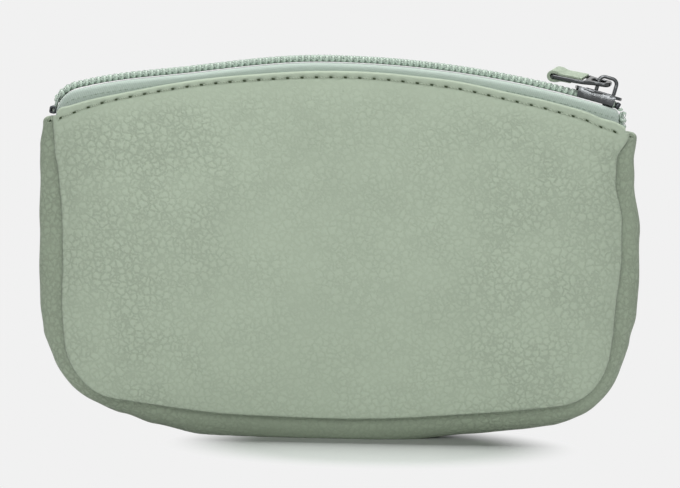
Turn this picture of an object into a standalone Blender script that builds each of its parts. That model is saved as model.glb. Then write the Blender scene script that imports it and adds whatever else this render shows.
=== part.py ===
"""Small zip pouch in grained leather, sewn inside out and turned, with an arched zip.

Units are metres. +Z is up and the front faces -Y. The origin is on the floor, under the
middle of the gusset. Across the pouch, a "reach" is a distance from the middle plane y = 0,
so that one shape serves the front and the back.
"""
import math

import bmesh
import bpy
from mathutils import Vector

FRONT = -1
BACK = 1
LEFT = -1
RIGHT = 1

# Sheet materials and the gaps between layers
leather = 0.0009
lining = 0.0003
layer_gap = 0.0003

# Panel outline, measured to the seam that joins it to the gusset
top_width = 0.1149
foot_width = 0.1075
crown_height = 0.0732
crown_radius = 0.182
foot_lift = 0.00415
foot_radius = 0.335
corner_radius = 0.012

# Depth from the middle plane, and how far the stuffed leather swells
seam_reach_top = 0.0058
seam_reach_foot = 0.0080
seam_reach_full_share = 0.35
panel_swell = 0.0024
panel_swell_power = 5

# Swell of the gusset outside the seam, at shares of the seam from its top to the foot
gusset_swell_shares = (0, 0.12, 0.32, 0.5, 0.6, 0.74, 1)
swell_top = 0.0018
swell_shoulder = 0.0029
swell_side = 0.0041
swell_corner = 0.0023
swell_heel = 0.0030
swell_sole = 0.0043
swell_foot = 0.0056
gusset_swell_power = 4
gusset_column_shares = (1, 0.87, 0.7, 0.4)
gusset_lining_share = 0.55
lining_top_drop = 0.0035
gusset_drop = 0.0026

# Turned edges
edge_radius = leather + layer_gap / 2
seam_allowance = 0.0040
hem_depth = 0.0070
allowance_clip = 0.0012
turn_angles = (30, -30, -90)

# Zip: a toothed row on each tape, both following one arc
tape = 0.00045
tape_inner_reach = 0.0011
tape_leg_radius = 0.00065
tape_tuck = 0.0060
tape_taper = 0.0060
tape_end_length = 0.0065
tape_end_draw_share = 0.82
tape_reveal = 0.0012
zip_radius = 0.205
crest_shift = 0.0027
left_bend_radius = 0.0050
right_bend_radius = 0.0012
left_end_inset = 0.0004
right_end_inset = 0.0016
coil_reach = 0.0021
coil_root_reach = 0.0012
coil_overlap = 0.00035
coil_height = 0.0013
coil_pitch = 0.00119
coil_gap = 0.0002

# Slider, crown and pull
slider_length = 0.0094
slider_plate = 0.00065
slider_wall = 0.00045
slider_post = 0.00075
slider_side_gap = 0.00015
slider_run_gap = 0.00025
slider_flare_share = 0.15
crown_offset = 0.0012
crown_span = 0.0036
crown_rise = 0.0031
crown_strap = 0.0007
crown_width = 0.0012
crown_corner = 0.0008
crown_gap = 0.0001
pull_axis_height = 0.0019
pull_frame = 0.0008
pull_arm = 0.0008
pull_eye_length = 0.0032
pull_eye_half_width = 0.0015
pull_eye_wall = 0.00075
pull_neck = 0.0010
pull_shoulder = 0.0045
pull_length = 0.0110
pull_half_width = 0.0039
pull_leather = 0.0006
pull_leather_gap = 0.00015
pull_leather_top_start = 0.0046
pull_leather_low_start = 0.0068
pull_leather_rise_length = 0.0016
pull_yaw_angle = 17
pull_roll_angle = 12
pull_droop_angle = 5

# Small metal stops
end_stop_length = 0.0015
end_stop_reach = 0.0022
end_stop_height = 0.00135
top_stop_length = 0.0009
stop_gap = 0.0002
stop_bevel = 0.0002

# Threads
stitch_inset = 0.00125
stitch_end_spread = 0.0006
stitch_end_inset = 0.0025
stitch_radius = 0.0002
seam_thread_radius = 0.0002
seam_thread_inset = 0.0016

# Mesh counts
side_steps = 5
corner_steps = 6
foot_steps = 8
lining_side_steps = 4
lining_corner_steps = 2
lining_foot_steps = 5
zip_arc_steps = 24
bend_steps = 3

# Sizes worked out from those above
top_half = top_width / 2
foot_half = foot_width / 2
flange_reach_gap = layer_gap / 2
rim_reach = flange_reach_gap + 2 * edge_radius
zip_centre_height = crown_height + tape_reveal - zip_radius
coil_low = tape / 2 + coil_gap
coil_high = coil_low + coil_height
coil_split = slider_post + slider_side_gap + coil_overlap
nose_inner_reach = coil_reach + coil_split + slider_side_gap
nose_reach = nose_inner_reach + slider_wall
tail_inner_reach = coil_reach + slider_side_gap
tail_reach = tail_inner_reach + slider_wall
tape_leg_reach = nose_reach + tape_leg_radius
hem_inner_reach = tape_leg_reach + tape / 2 + layer_gap
hem_outer_reach = hem_inner_reach + 2 * edge_radius
plate_low = coil_high + slider_run_gap
plate_high = plate_low + slider_plate
lining_inset = edge_radius + seam_allowance + 2 * layer_gap


def linear(hex_colour):
    """Colour as linear values from an sRGB hex string."""
    parts = [int(hex_colour[k:k + 2], 16) / 255 for k in (0, 2, 4)]
    return [c / 12.92 if c <= 0.04045 else ((c + 0.055) / 1.055) ** 2.4 for c in parts] + [1]


def finish(obj, hex_colour, roughness, metallic=0.0, parent=None):
    """Give a piece its material, put it in the pouch's collection and hang it on its parent."""
    material = bpy.data.materials.new(obj.name)
    material.use_nodes = True
    shader = material.node_tree.nodes["Principled BSDF"]
    shader.inputs["Base Color"].default_value = linear(hex_colour)
    shader.inputs["Roughness"].default_value = roughness
    shader.inputs["Metallic"].default_value = metallic
    material.diffuse_color = linear(hex_colour)
    obj.data.materials.append(material)
    pouch.objects.link(obj)
    obj.parent = parent
    return obj


def object_from(bm, name):
    """Object that holds a finished bmesh, shaded smooth between its sharp edges."""
    mesh = bpy.data.meshes.new(name)
    bm.to_mesh(mesh)
    bm.free()
    mesh.shade_smooth()
    mesh.set_sharp_from_angle(angle=math.radians(40))
    return bpy.data.objects.new(name, mesh)


def thicken(obj, thickness, offset):
    """Wall of a sheet: offset -1 puts it behind the surface, 0 half on each side."""
    wall = obj.modifiers.new("wall", "SOLIDIFY")
    wall.thickness = thickness
    wall.offset = offset
    return obj


def blend(start, end, share):
    return start + (end - start) * share


def ease(share):
    """Smooth step from 0 to 1."""
    t = min(max(share, 0), 1)
    return t * t * (3 - 2 * t)


def sheet_grid(columns, rows, place):
    """Open sheet of columns by rows faces; place(i, j) gives each vertex its point."""
    bm = bmesh.new()
    bmesh.ops.create_grid(bm, x_segments=columns, y_segments=rows, size=1)
    table = {}
    for vert in bm.verts:
        i = round((vert.co.x + 1) / 2 * columns)
        j = round((vert.co.y + 1) / 2 * rows)
        table[i, j] = vert
    for (i, j), vert in table.items():
        vert.co = place(i, j)
    return bm, table


def extrude_chain(bm, chain, places):
    """Pull a new row of vertices out of an open edge and put each one in its place."""
    edges = [bm.edges.get(pair) for pair in zip(chain, chain[1:])]
    made = bmesh.ops.extrude_edge_only(bm, edges=edges)["geom"]
    roots = set(chain)
    fresh = {}
    for vert in [item for item in made if isinstance(item, bmesh.types.BMVert)]:
        for edge in vert.link_edges:
            if edge.other_vert(vert) in roots:
                fresh[edge.other_vert(vert)] = vert
    row = [fresh[vert] for vert in chain]
    for vert, point in zip(row, places):
        vert.co = point
    return row


def face_outwards(bm, sample, outward):
    """Turn every face the same way, so that the sample face looks outward."""
    bmesh.ops.recalc_face_normals(bm, faces=bm.faces)
    bm.normal_update()
    if sample.normal.dot(outward) < 0:
        bmesh.ops.reverse_faces(bm, faces=bm.faces)


def fold_height(x):
    """Height of the folded top edge of a panel."""
    return crown_height - crown_radius + math.sqrt(crown_radius ** 2 - x * x)


class Seam:
    """A place on the seam: its point in the XZ plane, its outward direction and its share."""

    def __init__(self, x, z, angle):
        self.x = x
        self.z = z
        self.out_x = math.cos(angle)
        self.out_z = math.sin(angle)
        self.share = 0

    def point(self, side, reach, outward):
        """Point at a reach from the middle plane, moved outward in the XZ plane."""
        return Vector((self.x + outward * self.out_x, side * reach, self.z + outward * self.out_z))

    def mirrored(self):
        twin = Seam(-self.x, self.z, math.pi - math.atan2(self.out_z, self.out_x))
        twin.share = self.share
        return twin

    def reach(self):
        """Distance of the seam from the middle plane."""
        return blend(seam_reach_top, seam_reach_foot, ease(self.share / seam_reach_full_share))

    def swell(self):
        """How far the gusset stands outside the seam."""
        sizes = (swell_top, swell_shoulder, swell_side, swell_corner, swell_heel, swell_sole,
                 swell_foot)
        places = gusset_swell_shares
        for k in range(1, len(places)):
            if self.share <= places[k]:
                t = (self.share - places[k - 1]) / (places[k] - places[k - 1])
                return blend(sizes[k - 1], sizes[k], ease(t))
        return sizes[-1]


def half_seam(sides, corners, feet):
    """Seam from the top right corner down the side, round the corner and to the foot."""
    top = fold_height(top_half - edge_radius) - edge_radius
    lean = math.atan2(top_half - foot_half, top)
    up = Vector((math.sin(lean), math.cos(lean)))
    out = Vector((math.cos(lean), -math.sin(lean)))
    foot_centre = Vector((0, foot_lift + foot_radius))
    start = Vector((top_half, top))
    gap_radius = foot_radius - corner_radius
    inner = start - corner_radius * out - foot_centre
    along = inner.dot(up)
    drop = along + math.sqrt(along ** 2 - inner.length_squared + gap_radius ** 2)
    centre = start - corner_radius * out - drop * up
    heel = math.atan2(centre.y - foot_centre.y, centre.x)
    places = []
    for k in range(sides):
        point = start - up * drop * k / sides
        places.append(Seam(point.x, point.y, -lean))
    for k in range(corners):
        angle = blend(-lean, heel, k / corners)
        point = centre + corner_radius * Vector((math.cos(angle), math.sin(angle)))
        places.append(Seam(point.x, point.y, angle))
    for k in range(feet + 1):
        angle = blend(heel, -math.pi / 2, k / feet)
        point = foot_centre + foot_radius * Vector((math.cos(angle), math.sin(angle)))
        places.append(Seam(point.x, point.y, angle))
    runs = [0]
    for before, after in zip(places, places[1:]):
        runs.append(runs[-1] + math.hypot(after.x - before.x, after.z - before.z))
    for place, run in zip(places, runs):
        place.share = run / runs[-1]
    return places


def full_seam(sides, corners, feet):
    """Seam from the top left corner round the foot to the top right corner."""
    right = half_seam(sides, corners, feet)
    return [place.mirrored() for place in right] + right[-2::-1]


def patch(left, right, foot, top):
    """Point finder for a sheet stretched between four edges that meet at their ends."""
    def shares(edge):
        runs = [0]
        for before, after in zip(edge, edge[1:]):
            runs.append(runs[-1] + (after - before).length)
        return [run / runs[-1] for run in runs]

    across = shares(foot)
    upward = shares(left)

    def place(i, j):
        u = across[i]
        v = upward[j]
        ruled = blend(foot[i], top[i], v) + blend(left[j], right[j], u)
        return ruled - blend(blend(foot[0], foot[-1], u), blend(top[0], top[-1], u), v), u, v

    return place


def swollen(u, v):
    """Share of the panel's swell: none at the edges, most a third of the way up."""
    across = 1 - abs(2 * u - 1) ** panel_swell_power
    upward = v * (1 - v) ** 2 / ((1 / 3) * (2 / 3) ** 2)
    return across * upward


def panel_patch(side):
    """Outer surface of a panel inside its turned edges, and its steps each way."""
    seam = full_seam(side_steps, corner_steps, foot_steps)
    rows = side_steps + corner_steps // 2
    columns = len(seam) - 1 - 2 * rows
    edge = [place.point(side, place.reach() + rim_reach, -edge_radius) for place in seam]
    left = edge[rows::-1]
    foot = edge[rows:rows + columns + 1]
    right = edge[rows + columns:]
    top = []
    for point in foot:
        share = point.x / foot[-1].x
        x = blend(0, right[-1].x, share)
        reach = blend(hem_outer_reach, abs(right[-1].y), share * share)
        top.append(Vector((x, side * reach, fold_height(x) - edge_radius)))
    top[0] = left[-1]
    top[-1] = right[-1]
    ruled = patch(left, right, foot, top)

    def place(i, j):
        point, u, v = ruled(i, j)
        point.y += side * panel_swell * swollen(u, v)
        return point

    return place, columns, rows


def panel(side, name):
    """Leather panel with its seam allowance and its top edge turned to the inside."""
    place, columns, rows = panel_patch(side)
    seam = full_seam(side_steps, corner_steps, foot_steps)
    bm, table = sheet_grid(columns, rows, place)
    chain = [table[0, j] for j in range(rows, 0, -1)]
    chain += [table[i, 0] for i in range(columns + 1)]
    chain += [table[columns, j] for j in range(1, rows + 1)]
    for angle in turn_angles:
        turn = math.radians(angle)
        outward = edge_radius * (math.cos(turn) - 1)
        across = flange_reach_gap + edge_radius * (1 + math.sin(turn))
        chain = extrude_chain(bm, chain, [s.point(side, s.reach() + across, outward) for s in seam])
    outward = -edge_radius - seam_allowance
    places = [s.point(side, s.reach() + flange_reach_gap, outward) for s in seam]
    for corner in (places[0], places[-1]):
        corner.z -= allowance_clip
    extrude_chain(bm, chain, places)
    chain = [table[i, rows] for i in range(1, columns)]
    base = [vert.co.copy() for vert in chain]
    for angle in turn_angles:
        turn = math.radians(90 - angle)
        inward = edge_radius * (1 - math.cos(turn))
        shift = Vector((0, -side * inward, edge_radius * math.sin(turn)))
        chain = extrude_chain(bm, chain, [point + shift for point in base])
    limit = top_half - 2 * edge_radius - seam_allowance
    flap = [vert for vert in chain if abs(vert.co.x) < limit]
    extrude_chain(bm, flap, [vert.co - Vector((0, 0, hem_depth)) for vert in flap])
    sample = table[columns // 2, rows // 2].link_faces[0]
    face_outwards(bm, sample, Vector((0, side, 0)))
    return finish(thicken(object_from(bm, name), leather, -1), "A7B7A3", 0.55)


def gusset_column(place, side, share):
    """Point of the gusset's outer surface at a share of its half width."""
    half = place.reach() - flange_reach_gap - edge_radius
    outward = place.swell() * (1 - share ** gusset_swell_power)
    point = place.point(side, half * share, outward)
    point.z = max(point.z, 0)
    return point


def gusset():
    """Leather band round the sides and the foot, with its seam allowances turned in."""
    seam = full_seam(side_steps, corner_steps, foot_steps)

    def half_profile(place, side):
        inner = place.reach() - flange_reach_gap
        row = [place.point(side, inner, -edge_radius - seam_allowance)]
        row.append(place.point(side, inner, -edge_radius))
        turn = math.radians(45)
        outward = edge_radius * (math.sin(turn) - 1)
        row.append(place.point(side, inner - edge_radius * (1 - math.cos(turn)), outward))
        return row + [gusset_column(place, side, share) for share in gusset_column_shares]

    profiles = []
    for k, place in enumerate(seam):
        front = half_profile(place, FRONT)
        back = half_profile(place, BACK)
        row = front + [gusset_column(place, FRONT, 0)] + back[::-1]
        if k in (0, len(seam) - 1):
            row = [point - Vector((0, 0, gusset_drop)) for point in row]
        profiles.append(row)
    columns = len(profiles) - 1
    rows = len(profiles[0]) - 1
    bm, table = sheet_grid(columns, rows, lambda i, j: profiles[i][j])
    sample = table[columns // 2, rows // 2].link_faces[0]
    face_outwards(bm, sample, Vector((0, 0, -1)))
    return finish(thicken(object_from(bm, "gusset"), leather, -1), "9FB09B", 0.55)


def panel_lining(side, name):
    """Cloth lining behind a panel, clear of the seam allowances and behind the zip tape."""
    seam = full_seam(lining_side_steps, lining_corner_steps, lining_foot_steps)
    rows = lining_side_steps + lining_corner_steps // 2
    columns = len(seam) - 1 - 2 * rows
    edge = [place.point(side, place.reach() - layer_gap, -lining_inset) for place in seam]
    left = edge[rows::-1]
    foot = edge[rows:rows + columns + 1]
    right = edge[rows + columns:]
    tuck_reach = tape_leg_reach - tape / 2 - layer_gap - lining / 2
    turn_drop = edge_radius + hem_depth + 2 * layer_gap
    top = []
    for point in foot:
        x = right[-1].x * point.x / foot[-1].x
        top.append(Vector((x, side * tuck_reach, fold_height(x) - turn_drop)))
    left[-1] = top[0]
    right[-1] = top[-1]
    panel_place, panel_columns, panel_rows = panel_patch(side)
    swollen_point = panel_place(panel_columns // 2, panel_rows // 2)
    full_reach = abs(swollen_point.y) - leather - 2 * layer_gap - lining
    ruled = patch(left, right, foot, top)

    def place(i, j):
        point, u, v = ruled(i, j)
        share = ease(1 - v) * ease(v * 3) * (1 - (2 * u - 1) ** 2)
        point.y = side * blend(abs(point.y), full_reach, share)
        return point

    bm, table = sheet_grid(columns, rows, place)
    chain = [table[i, rows] for i in range(columns + 1)]
    rise = Vector((0, 0, turn_drop - lining_top_drop))
    extrude_chain(bm, chain, [vert.co + rise for vert in chain])
    return finish(thicken(object_from(bm, name), lining, 0), "8E9A8A", 0.8)


def gusset_lining():
    """Cloth lining of the gusset, inside its seam allowances."""
    seam = full_seam(lining_side_steps, lining_corner_steps, lining_foot_steps)[1:-1]
    inside = leather + 2 * layer_gap

    def half_profile(place, side):
        flange = place.reach() - flange_reach_gap - inside - 2 * seam_thread_radius - layer_gap
        tip = place.point(side, flange, -edge_radius - seam_allowance)
        root = place.point(side, flange, -edge_radius - layer_gap)
        bowed = gusset_column(place, side, gusset_lining_share)
        bowed -= inside * Vector((place.out_x, 0, place.out_z))
        return [tip, root, bowed]

    profiles = []
    for place in seam:
        middle = gusset_column(place, FRONT, 0) - inside * Vector((place.out_x, 0, place.out_z))
        profiles.append(half_profile(place, FRONT) + [middle] + half_profile(place, BACK)[::-1])
    bm, table = sheet_grid(len(profiles) - 1, len(profiles[0]) - 1, lambda i, j: profiles[i][j])
    return finish(thicken(object_from(bm, "gusset_lining"), lining, 0), "8E9A8A", 0.8)


def end_bend(side):
    """Radius of the zip's bend at an end, and the slope of its arc where the bend starts."""
    if side == RIGHT:
        radius = right_bend_radius
        span = top_half - right_end_inset - tape / 2 + crest_shift
    else:
        radius = left_bend_radius
        span = top_half - left_end_inset - tape / 2 - crest_shift
    return radius, math.asin((span - radius) / (zip_radius - radius))


def zip_frame(run):
    """Middle of the tapes at a run from the crest, positive to the right, and the slope there."""
    side = RIGHT if run >= 0 else LEFT
    radius, turn = end_bend(side)
    left_over = abs(run) - zip_radius * turn
    if left_over <= 0:
        angle = abs(run) / zip_radius
        x = zip_radius * math.sin(angle)
        z = zip_centre_height + zip_radius * math.cos(angle)
    else:
        angle = min(turn + left_over / radius, math.pi / 2)
        straight = max(left_over - radius * (math.pi / 2 - turn), 0)
        x = (zip_radius - radius) * math.sin(turn) + radius * math.sin(angle)
        z = zip_centre_height + (zip_radius - radius) * math.cos(turn) + radius * math.cos(angle)
        z -= straight
    return Vector((side * x - crest_shift, 0, z)), side * angle


def zip_point(run, side, reach, height):
    """Point beside and above the middle of the tapes."""
    middle, angle = zip_frame(run)
    return middle + Vector((height * math.sin(angle), side * reach, height * math.cos(angle)))


def bend_end(side):
    """Run from the crest at which an end bend has turned straight down."""
    radius, turn = end_bend(side)
    return side * (zip_radius * turn + radius * (math.pi / 2 - turn))


def zip_runs():
    """Runs along the whole zip, with steps for each bend and each straight end."""
    arc_left = -zip_radius * end_bend(LEFT)[1]
    arc_right = zip_radius * end_bend(RIGHT)[1]
    left = bend_end(LEFT)
    right = bend_end(RIGHT)
    runs = [left - tape_end_length]
    runs += [blend(left, arc_left, k / bend_steps) for k in range(bend_steps)]
    runs += [blend(arc_left, arc_right, k / zip_arc_steps) for k in range(zip_arc_steps)]
    runs += [blend(arc_right, right, k / bend_steps) for k in range(bend_steps + 1)]
    return runs + [right + tape_end_length]


def tape_profile(run, side):
    """Tape across its width: flat under the coil, over a bend and down behind the panel."""
    middle, angle = zip_frame(run)
    x = abs(middle.x)
    shortest = -tape_leg_radius - tape / 2
    full = (fold_height(min(x, top_half)) - tape_tuck - middle.z) / max(math.cos(angle), 0.5)
    radius, bend_start = end_bend(RIGHT if run > 0 else LEFT)
    past_arc = abs(run) - zip_radius * bend_start
    fade = ease((past_arc + tape_taper) / tape_taper)
    leg = blend(min(full, shortest), shortest, fade)
    draw = blend(1, tape_end_draw_share, ease(past_arc / (radius * (math.pi / 2))))
    turn = math.radians(45)
    profile = [(tape_inner_reach, 0), (coil_reach, 0), (nose_reach, 0)]
    profile.append((nose_reach + tape_leg_radius * math.sin(turn),
                    -tape_leg_radius * (1 - math.cos(turn))))
    profile += [(tape_leg_reach, -tape_leg_radius), (tape_leg_reach, leg)]
    return [zip_point(run, side, reach * draw, height) for reach, height in profile]


def zip_tape(side, name):
    """Woven tape from one end of the zip to the other."""
    profiles = [tape_profile(run, side) for run in zip_runs()]
    bm, table = sheet_grid(len(profiles) - 1, len(profiles[0]) - 1, lambda i, j: profiles[i][j])
    return finish(thicken(object_from(bm, name), tape, 0), "BFD0C5", 0.85)


def slider_run():
    """Run of the slider's middle when the zip is shut and the nose is at the last bend."""
    return zip_radius * end_bend(RIGHT)[1] - slider_length / 2 - slider_side_gap


def coil_spread(run):
    """How far the slider's post pushes a row of teeth away from the middle."""
    start = slider_run() - slider_length * slider_flare_share * 2 / 3
    end = slider_run() + slider_length * slider_flare_share * 4 / 3
    return coil_split * ease((run - start) / (end - start))


def zip_coil(side, name):
    """Row of coil teeth: a strip whose inner edge is pulled across the middle in points."""
    left = bend_end(LEFT) + end_stop_length + stop_gap
    right = slider_run() + slider_length / 2 - slider_wall - top_stop_length - stop_gap
    teeth = int((right - left) / coil_pitch - 1 / 2)
    shift = coil_pitch / 2 if side == BACK else 0

    def place(i, j):
        run = right - (teeth - i) * coil_pitch - shift
        reach = coil_reach if j == 0 else coil_root_reach
        return zip_point(run, side, reach + coil_spread(run), (coil_low + coil_high) / 2)

    bm, table = sheet_grid(teeth, 1, place)
    inner = [bm.edges.get((table[i, 1], table[i + 1, 1])) for i in range(teeth)]
    cut = bmesh.ops.subdivide_edges(bm, edges=inner, cuts=1)["geom_inner"]
    tips = [item for item in cut if isinstance(item, bmesh.types.BMVert)]
    for vert in tips:
        step = (coil_root_reach + coil_overlap) * side
        vert.co.y -= step
    return finish(thicken(object_from(bm, name), coil_height, 0), "B3C4B4", 0.5)


def flat_piece(name, outlines, low, high, edge=0):
    """Mesh object of a flat outline between two heights; later outlines are holes."""
    curve = bpy.data.curves.new(name, "CURVE")
    curve.dimensions = "2D"
    curve.fill_mode = "BOTH"
    curve.extrude = (high - low) / 2 - edge
    curve.bevel_depth = edge
    curve.bevel_resolution = 0
    curve.offset = -edge
    for outline in outlines:
        spline = curve.splines.new("POLY")
        spline.points.add(len(outline) - 1)
        for point, (x, y) in zip(spline.points, outline):
            point.co = (x, y, 0, 1)
        spline.use_cyclic_u = True
    source = bpy.data.objects.new(name, curve)
    pouch.objects.link(source)
    bpy.context.view_layer.update()
    graph = bpy.context.evaluated_depsgraph_get()
    mesh = bpy.data.meshes.new_from_object(source.evaluated_get(graph))
    bpy.data.objects.remove(source)
    bm = bmesh.new()
    bm.from_mesh(mesh)
    bpy.data.meshes.remove(mesh)
    bmesh.ops.translate(bm, verts=bm.verts, vec=(0, 0, (low + high) / 2))
    bmesh.ops.remove_doubles(bm, verts=bm.verts, dist=slider_side_gap / 100)
    bmesh.ops.recalc_face_normals(bm, faces=bm.faces)
    return object_from(bm, name)


def add_union(obj, other):
    """Fuse another solid into this one, keeping it as a hidden guide."""
    guides.objects.link(other)
    other.hide_render = True
    other.display_type = "WIRE"
    other.parent = obj.parent
    join = obj.modifiers.new(other.name, "BOOLEAN")
    join.operation = "UNION"
    join.object = other


def plate_outline(inset):
    """Slider plate seen from above, tail on the left and rounded nose on the right."""
    half = slider_length / 2
    flare = slider_length * slider_flare_share
    tail = tail_reach - inset
    nose = nose_reach - inset
    upper = [(-half, tail - 2 * slider_wall), (-half + slider_wall, tail), (-flare, tail),
             (flare, nose)]
    for turn in (0, 30, 60, 90):
        angle = math.radians(turn)
        length = half - flare
        upper.append((flare + length * (1 / 2) * (1 + math.sin(angle)),
                      nose * (1 / 3) * (1 + 2 * math.cos(angle))))
    return upper + [(x, -y) for x, y in reversed(upper)]


def slider_body(parent):
    """Slider: two plates joined by the post, with side walls that press the teeth together."""
    bottom_high = -tape / 2 - slider_run_gap
    bevel = slider_plate / 4
    body = flat_piece("slider_body", [plate_outline(0)], plate_low, plate_high, bevel)
    finish(body, "A9ACAE", 0.25, 1.0, parent)
    half = slider_length / 2
    flare = slider_length * slider_flare_share
    for side in (FRONT, BACK):
        outer = [(-half + slider_wall, tail_reach), (-flare, tail_reach), (flare, nose_reach),
                 (half * 2 / 3, nose_reach)]
        inner = [(x, y - slider_wall) for x, y in reversed(outer)]
        outline = [(x, side * (y - bevel / 4)) for x, y in outer + inner]
        wall = flat_piece("slider_wall", [outline], tape / 2 + slider_run_gap,
                          plate_high - slider_plate / 2)
        add_union(body, wall)
    post = [(flare, 0), (2 * flare, slider_post), (half * 5 / 6, slider_post * 2 / 3)]
    post += [(x, -y) for x, y in reversed(post[1:])]
    inside = slider_plate / 2
    add_union(body, flat_piece("slider_post", [post], bottom_high - inside, plate_low + inside))
    add_union(body, flat_piece("slider_underplate", [plate_outline(slider_wall)],
                               bottom_high - slider_plate, bottom_high, bevel))
    return body


def slider_crown(parent):
    """Arched strap on the slider that carries the pull."""
    half = crown_span / 2
    rise = crown_rise
    base = plate_high + crown_gap
    path = [(-half, 0), (-half, rise - crown_corner)]
    for turn in (45, 90):
        angle = math.radians(turn)
        path.append((-half + crown_corner * (1 - math.cos(angle)),
                     rise - crown_corner * (1 - math.sin(angle))))
    path += [(-x, z) for x, z in reversed(path)]

    def place(i, j):
        x, z = path[i]
        return Vector((x + crown_offset, blend(-crown_width, crown_width, j) / 2, z + base))

    bm, table = sheet_grid(len(path) - 1, 1, place)
    crown = thicken(object_from(bm, "slider_crown"), crown_strap, 0)
    return finish(crown, "A9ACAE", 0.25, 1.0, parent)


def round_rectangle(near, far, half, corner):
    """Outline of a rectangle with cut corners, between two distances along a piece."""
    upper = [(near, half - corner), (near - corner, half), (far + corner, half),
             (far, half - corner)]
    return upper + [(x, -y) for x, y in reversed(upper)]


def pull_frame_piece(parent):
    """Metal pull: an eye that hangs in the crown and a frame that holds the leather."""
    eye = pull_eye_half_width + pull_eye_wall
    half_wall = pull_eye_wall / 2
    upper = [(pull_eye_wall, eye / 2), (half_wall, eye - half_wall), (-half_wall, eye),
             (-pull_eye_length * 2 / 3, eye), (-pull_shoulder, pull_half_width),
             (-pull_length + pull_arm, pull_half_width),
             (-pull_length, pull_half_width - pull_arm)]
    outer = upper + [(x, -y) for x, y in reversed(upper)]
    hole = round_rectangle(-pull_frame / 2, -pull_eye_length, pull_eye_half_width, pull_eye_wall)
    window_start = -pull_eye_length - pull_neck
    window = round_rectangle(window_start, -pull_length + pull_arm, pull_half_width - pull_arm,
                             pull_arm / 2)
    frame = flat_piece("pull_frame", [outer, hole, window], -pull_frame / 2, pull_frame / 2,
                       pull_frame / 4)
    return finish(frame, "A9ACAE", 0.25, 1.0, parent)


def pull_leather_piece(parent):
    """Leather strip folded round the end bar of the pull and glued to itself."""
    flat = (pull_leather + layer_gap) / 2
    raised = (pull_frame + pull_leather) / 2 + pull_leather_gap
    bar_middle = pull_length - pull_arm / 2
    wrap = pull_arm / 2 + pull_leather_gap + pull_leather / 2
    lift_end = bar_middle - pull_arm / 2
    lift_start = lift_end - pull_leather_rise_length
    upper = [(lift_start, flat), (lift_end, raised)]
    around = []
    for turn in (30, 60, 90, 120, 150):
        angle = math.radians(turn)
        around.append((bar_middle + wrap * math.sin(angle), raised * math.cos(angle)))
    path = [(pull_leather_top_start, flat)] + upper + around
    path += [(x, -z) for x, z in reversed(upper)] + [(pull_leather_low_start, -flat)]
    half = pull_half_width - pull_arm - pull_leather_gap

    def place(i, j):
        along, height = path[i]
        return Vector((-along, blend(-half, half, j), height))

    bm, table = sheet_grid(len(path) - 1, 1, place)
    strip = thicken(object_from(bm, "pull_leather"), pull_leather, 0)
    return finish(strip, "A7B7A3", 0.55, 0.0, parent)


def block(name, length, width, height):
    """Small metal block with eased edges."""
    bm = bmesh.new()
    bmesh.ops.create_cube(bm, size=1)
    bmesh.ops.scale(bm, verts=bm.verts, vec=(length, width, height))
    obj = object_from(bm, name)
    ease_edges = obj.modifiers.new("edges", "BEVEL")
    ease_edges.width = stop_bevel
    ease_edges.segments = 1
    return obj


def end_stop():
    """Metal stop over both tapes at the left end of the teeth."""
    run = bend_end(LEFT) + end_stop_length / 2
    stop = block("end_stop", end_stop_length, 2 * end_stop_reach, end_stop_height)
    stop.location = zip_point(run, FRONT, 0, coil_low + end_stop_height / 2)
    stop.rotation_euler = (0, zip_frame(run)[1], 0)
    return finish(stop, "3A3D3B", 0.35, 1.0)


def top_stop(side, name):
    """Metal stop at the right end of one row of teeth, just inside the slider's nose."""
    run = slider_run() + slider_length / 2 - slider_wall - top_stop_length / 2
    reach = (coil_reach + coil_root_reach) / 2 + coil_split
    stop = block(name, top_stop_length, coil_reach - coil_root_reach, coil_height)
    stop.location = zip_point(run, side, reach, (coil_low + coil_high) / 2)
    stop.rotation_euler = (0, zip_frame(run)[1], 0)
    return finish(stop, "3A3D3B", 0.35, 1.0)


def thread(name, points, radius, hex_colour):
    """Sewing thread laid along a row of points."""
    curve = bpy.data.curves.new(name, "CURVE")
    curve.dimensions = "3D"
    curve.bevel_depth = radius
    curve.bevel_resolution = 0
    curve.use_fill_caps = True
    spline = curve.splines.new("POLY")
    spline.points.add(len(points) - 1)
    for point, place in zip(spline.points, points):
        point.co = (*place, 1)
    return finish(bpy.data.objects.new(name, curve), hex_colour, 0.7)


def top_stitching(side, name):
    """Row of stitches below the folded top edge, outside the leather."""
    place, columns, rows = panel_patch(side)
    points = []
    for i in [0] + list(range(2, columns - 1)) + [columns]:
        upper = place(i, rows)
        lower = place(i, rows - 1)
        inset = stitch_inset + stitch_end_spread * (upper.x / top_half) ** 2
        share = (inset - edge_radius) / (upper.z - lower.z)
        clear = Vector((0, side * (layer_gap + stitch_radius), 0))
        points.append(blend(upper, lower, share) + clear)
    for end, before in ((0, 1), (-1, -2)):
        limit = top_half - stitch_end_inset
        share = (abs(points[end].x) - limit) / abs(points[end].x - points[before].x)
        points[end] = blend(points[end], points[before], share)
    return thread(name, points, stitch_radius, "5C6B58")


def seam_thread(side, name):
    """Thread that closes the seam, seen on the gusset's side of the seam allowances."""
    inward = -edge_radius - seam_thread_inset
    across = flange_reach_gap + leather + layer_gap + seam_thread_radius
    points = []
    for place in full_seam(side_steps, corner_steps, foot_steps):
        points.append(place.point(side, place.reach() - across, inward))
    return thread(name, points, seam_thread_radius, "5C6B58")


for old in list(bpy.data.objects):
    bpy.data.objects.remove(old)
pouch = bpy.data.collections.new("zip_pouch")
guides = bpy.data.collections.new("guides")
for collection in (pouch, guides):
    bpy.context.scene.collection.children.link(collection)

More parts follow.
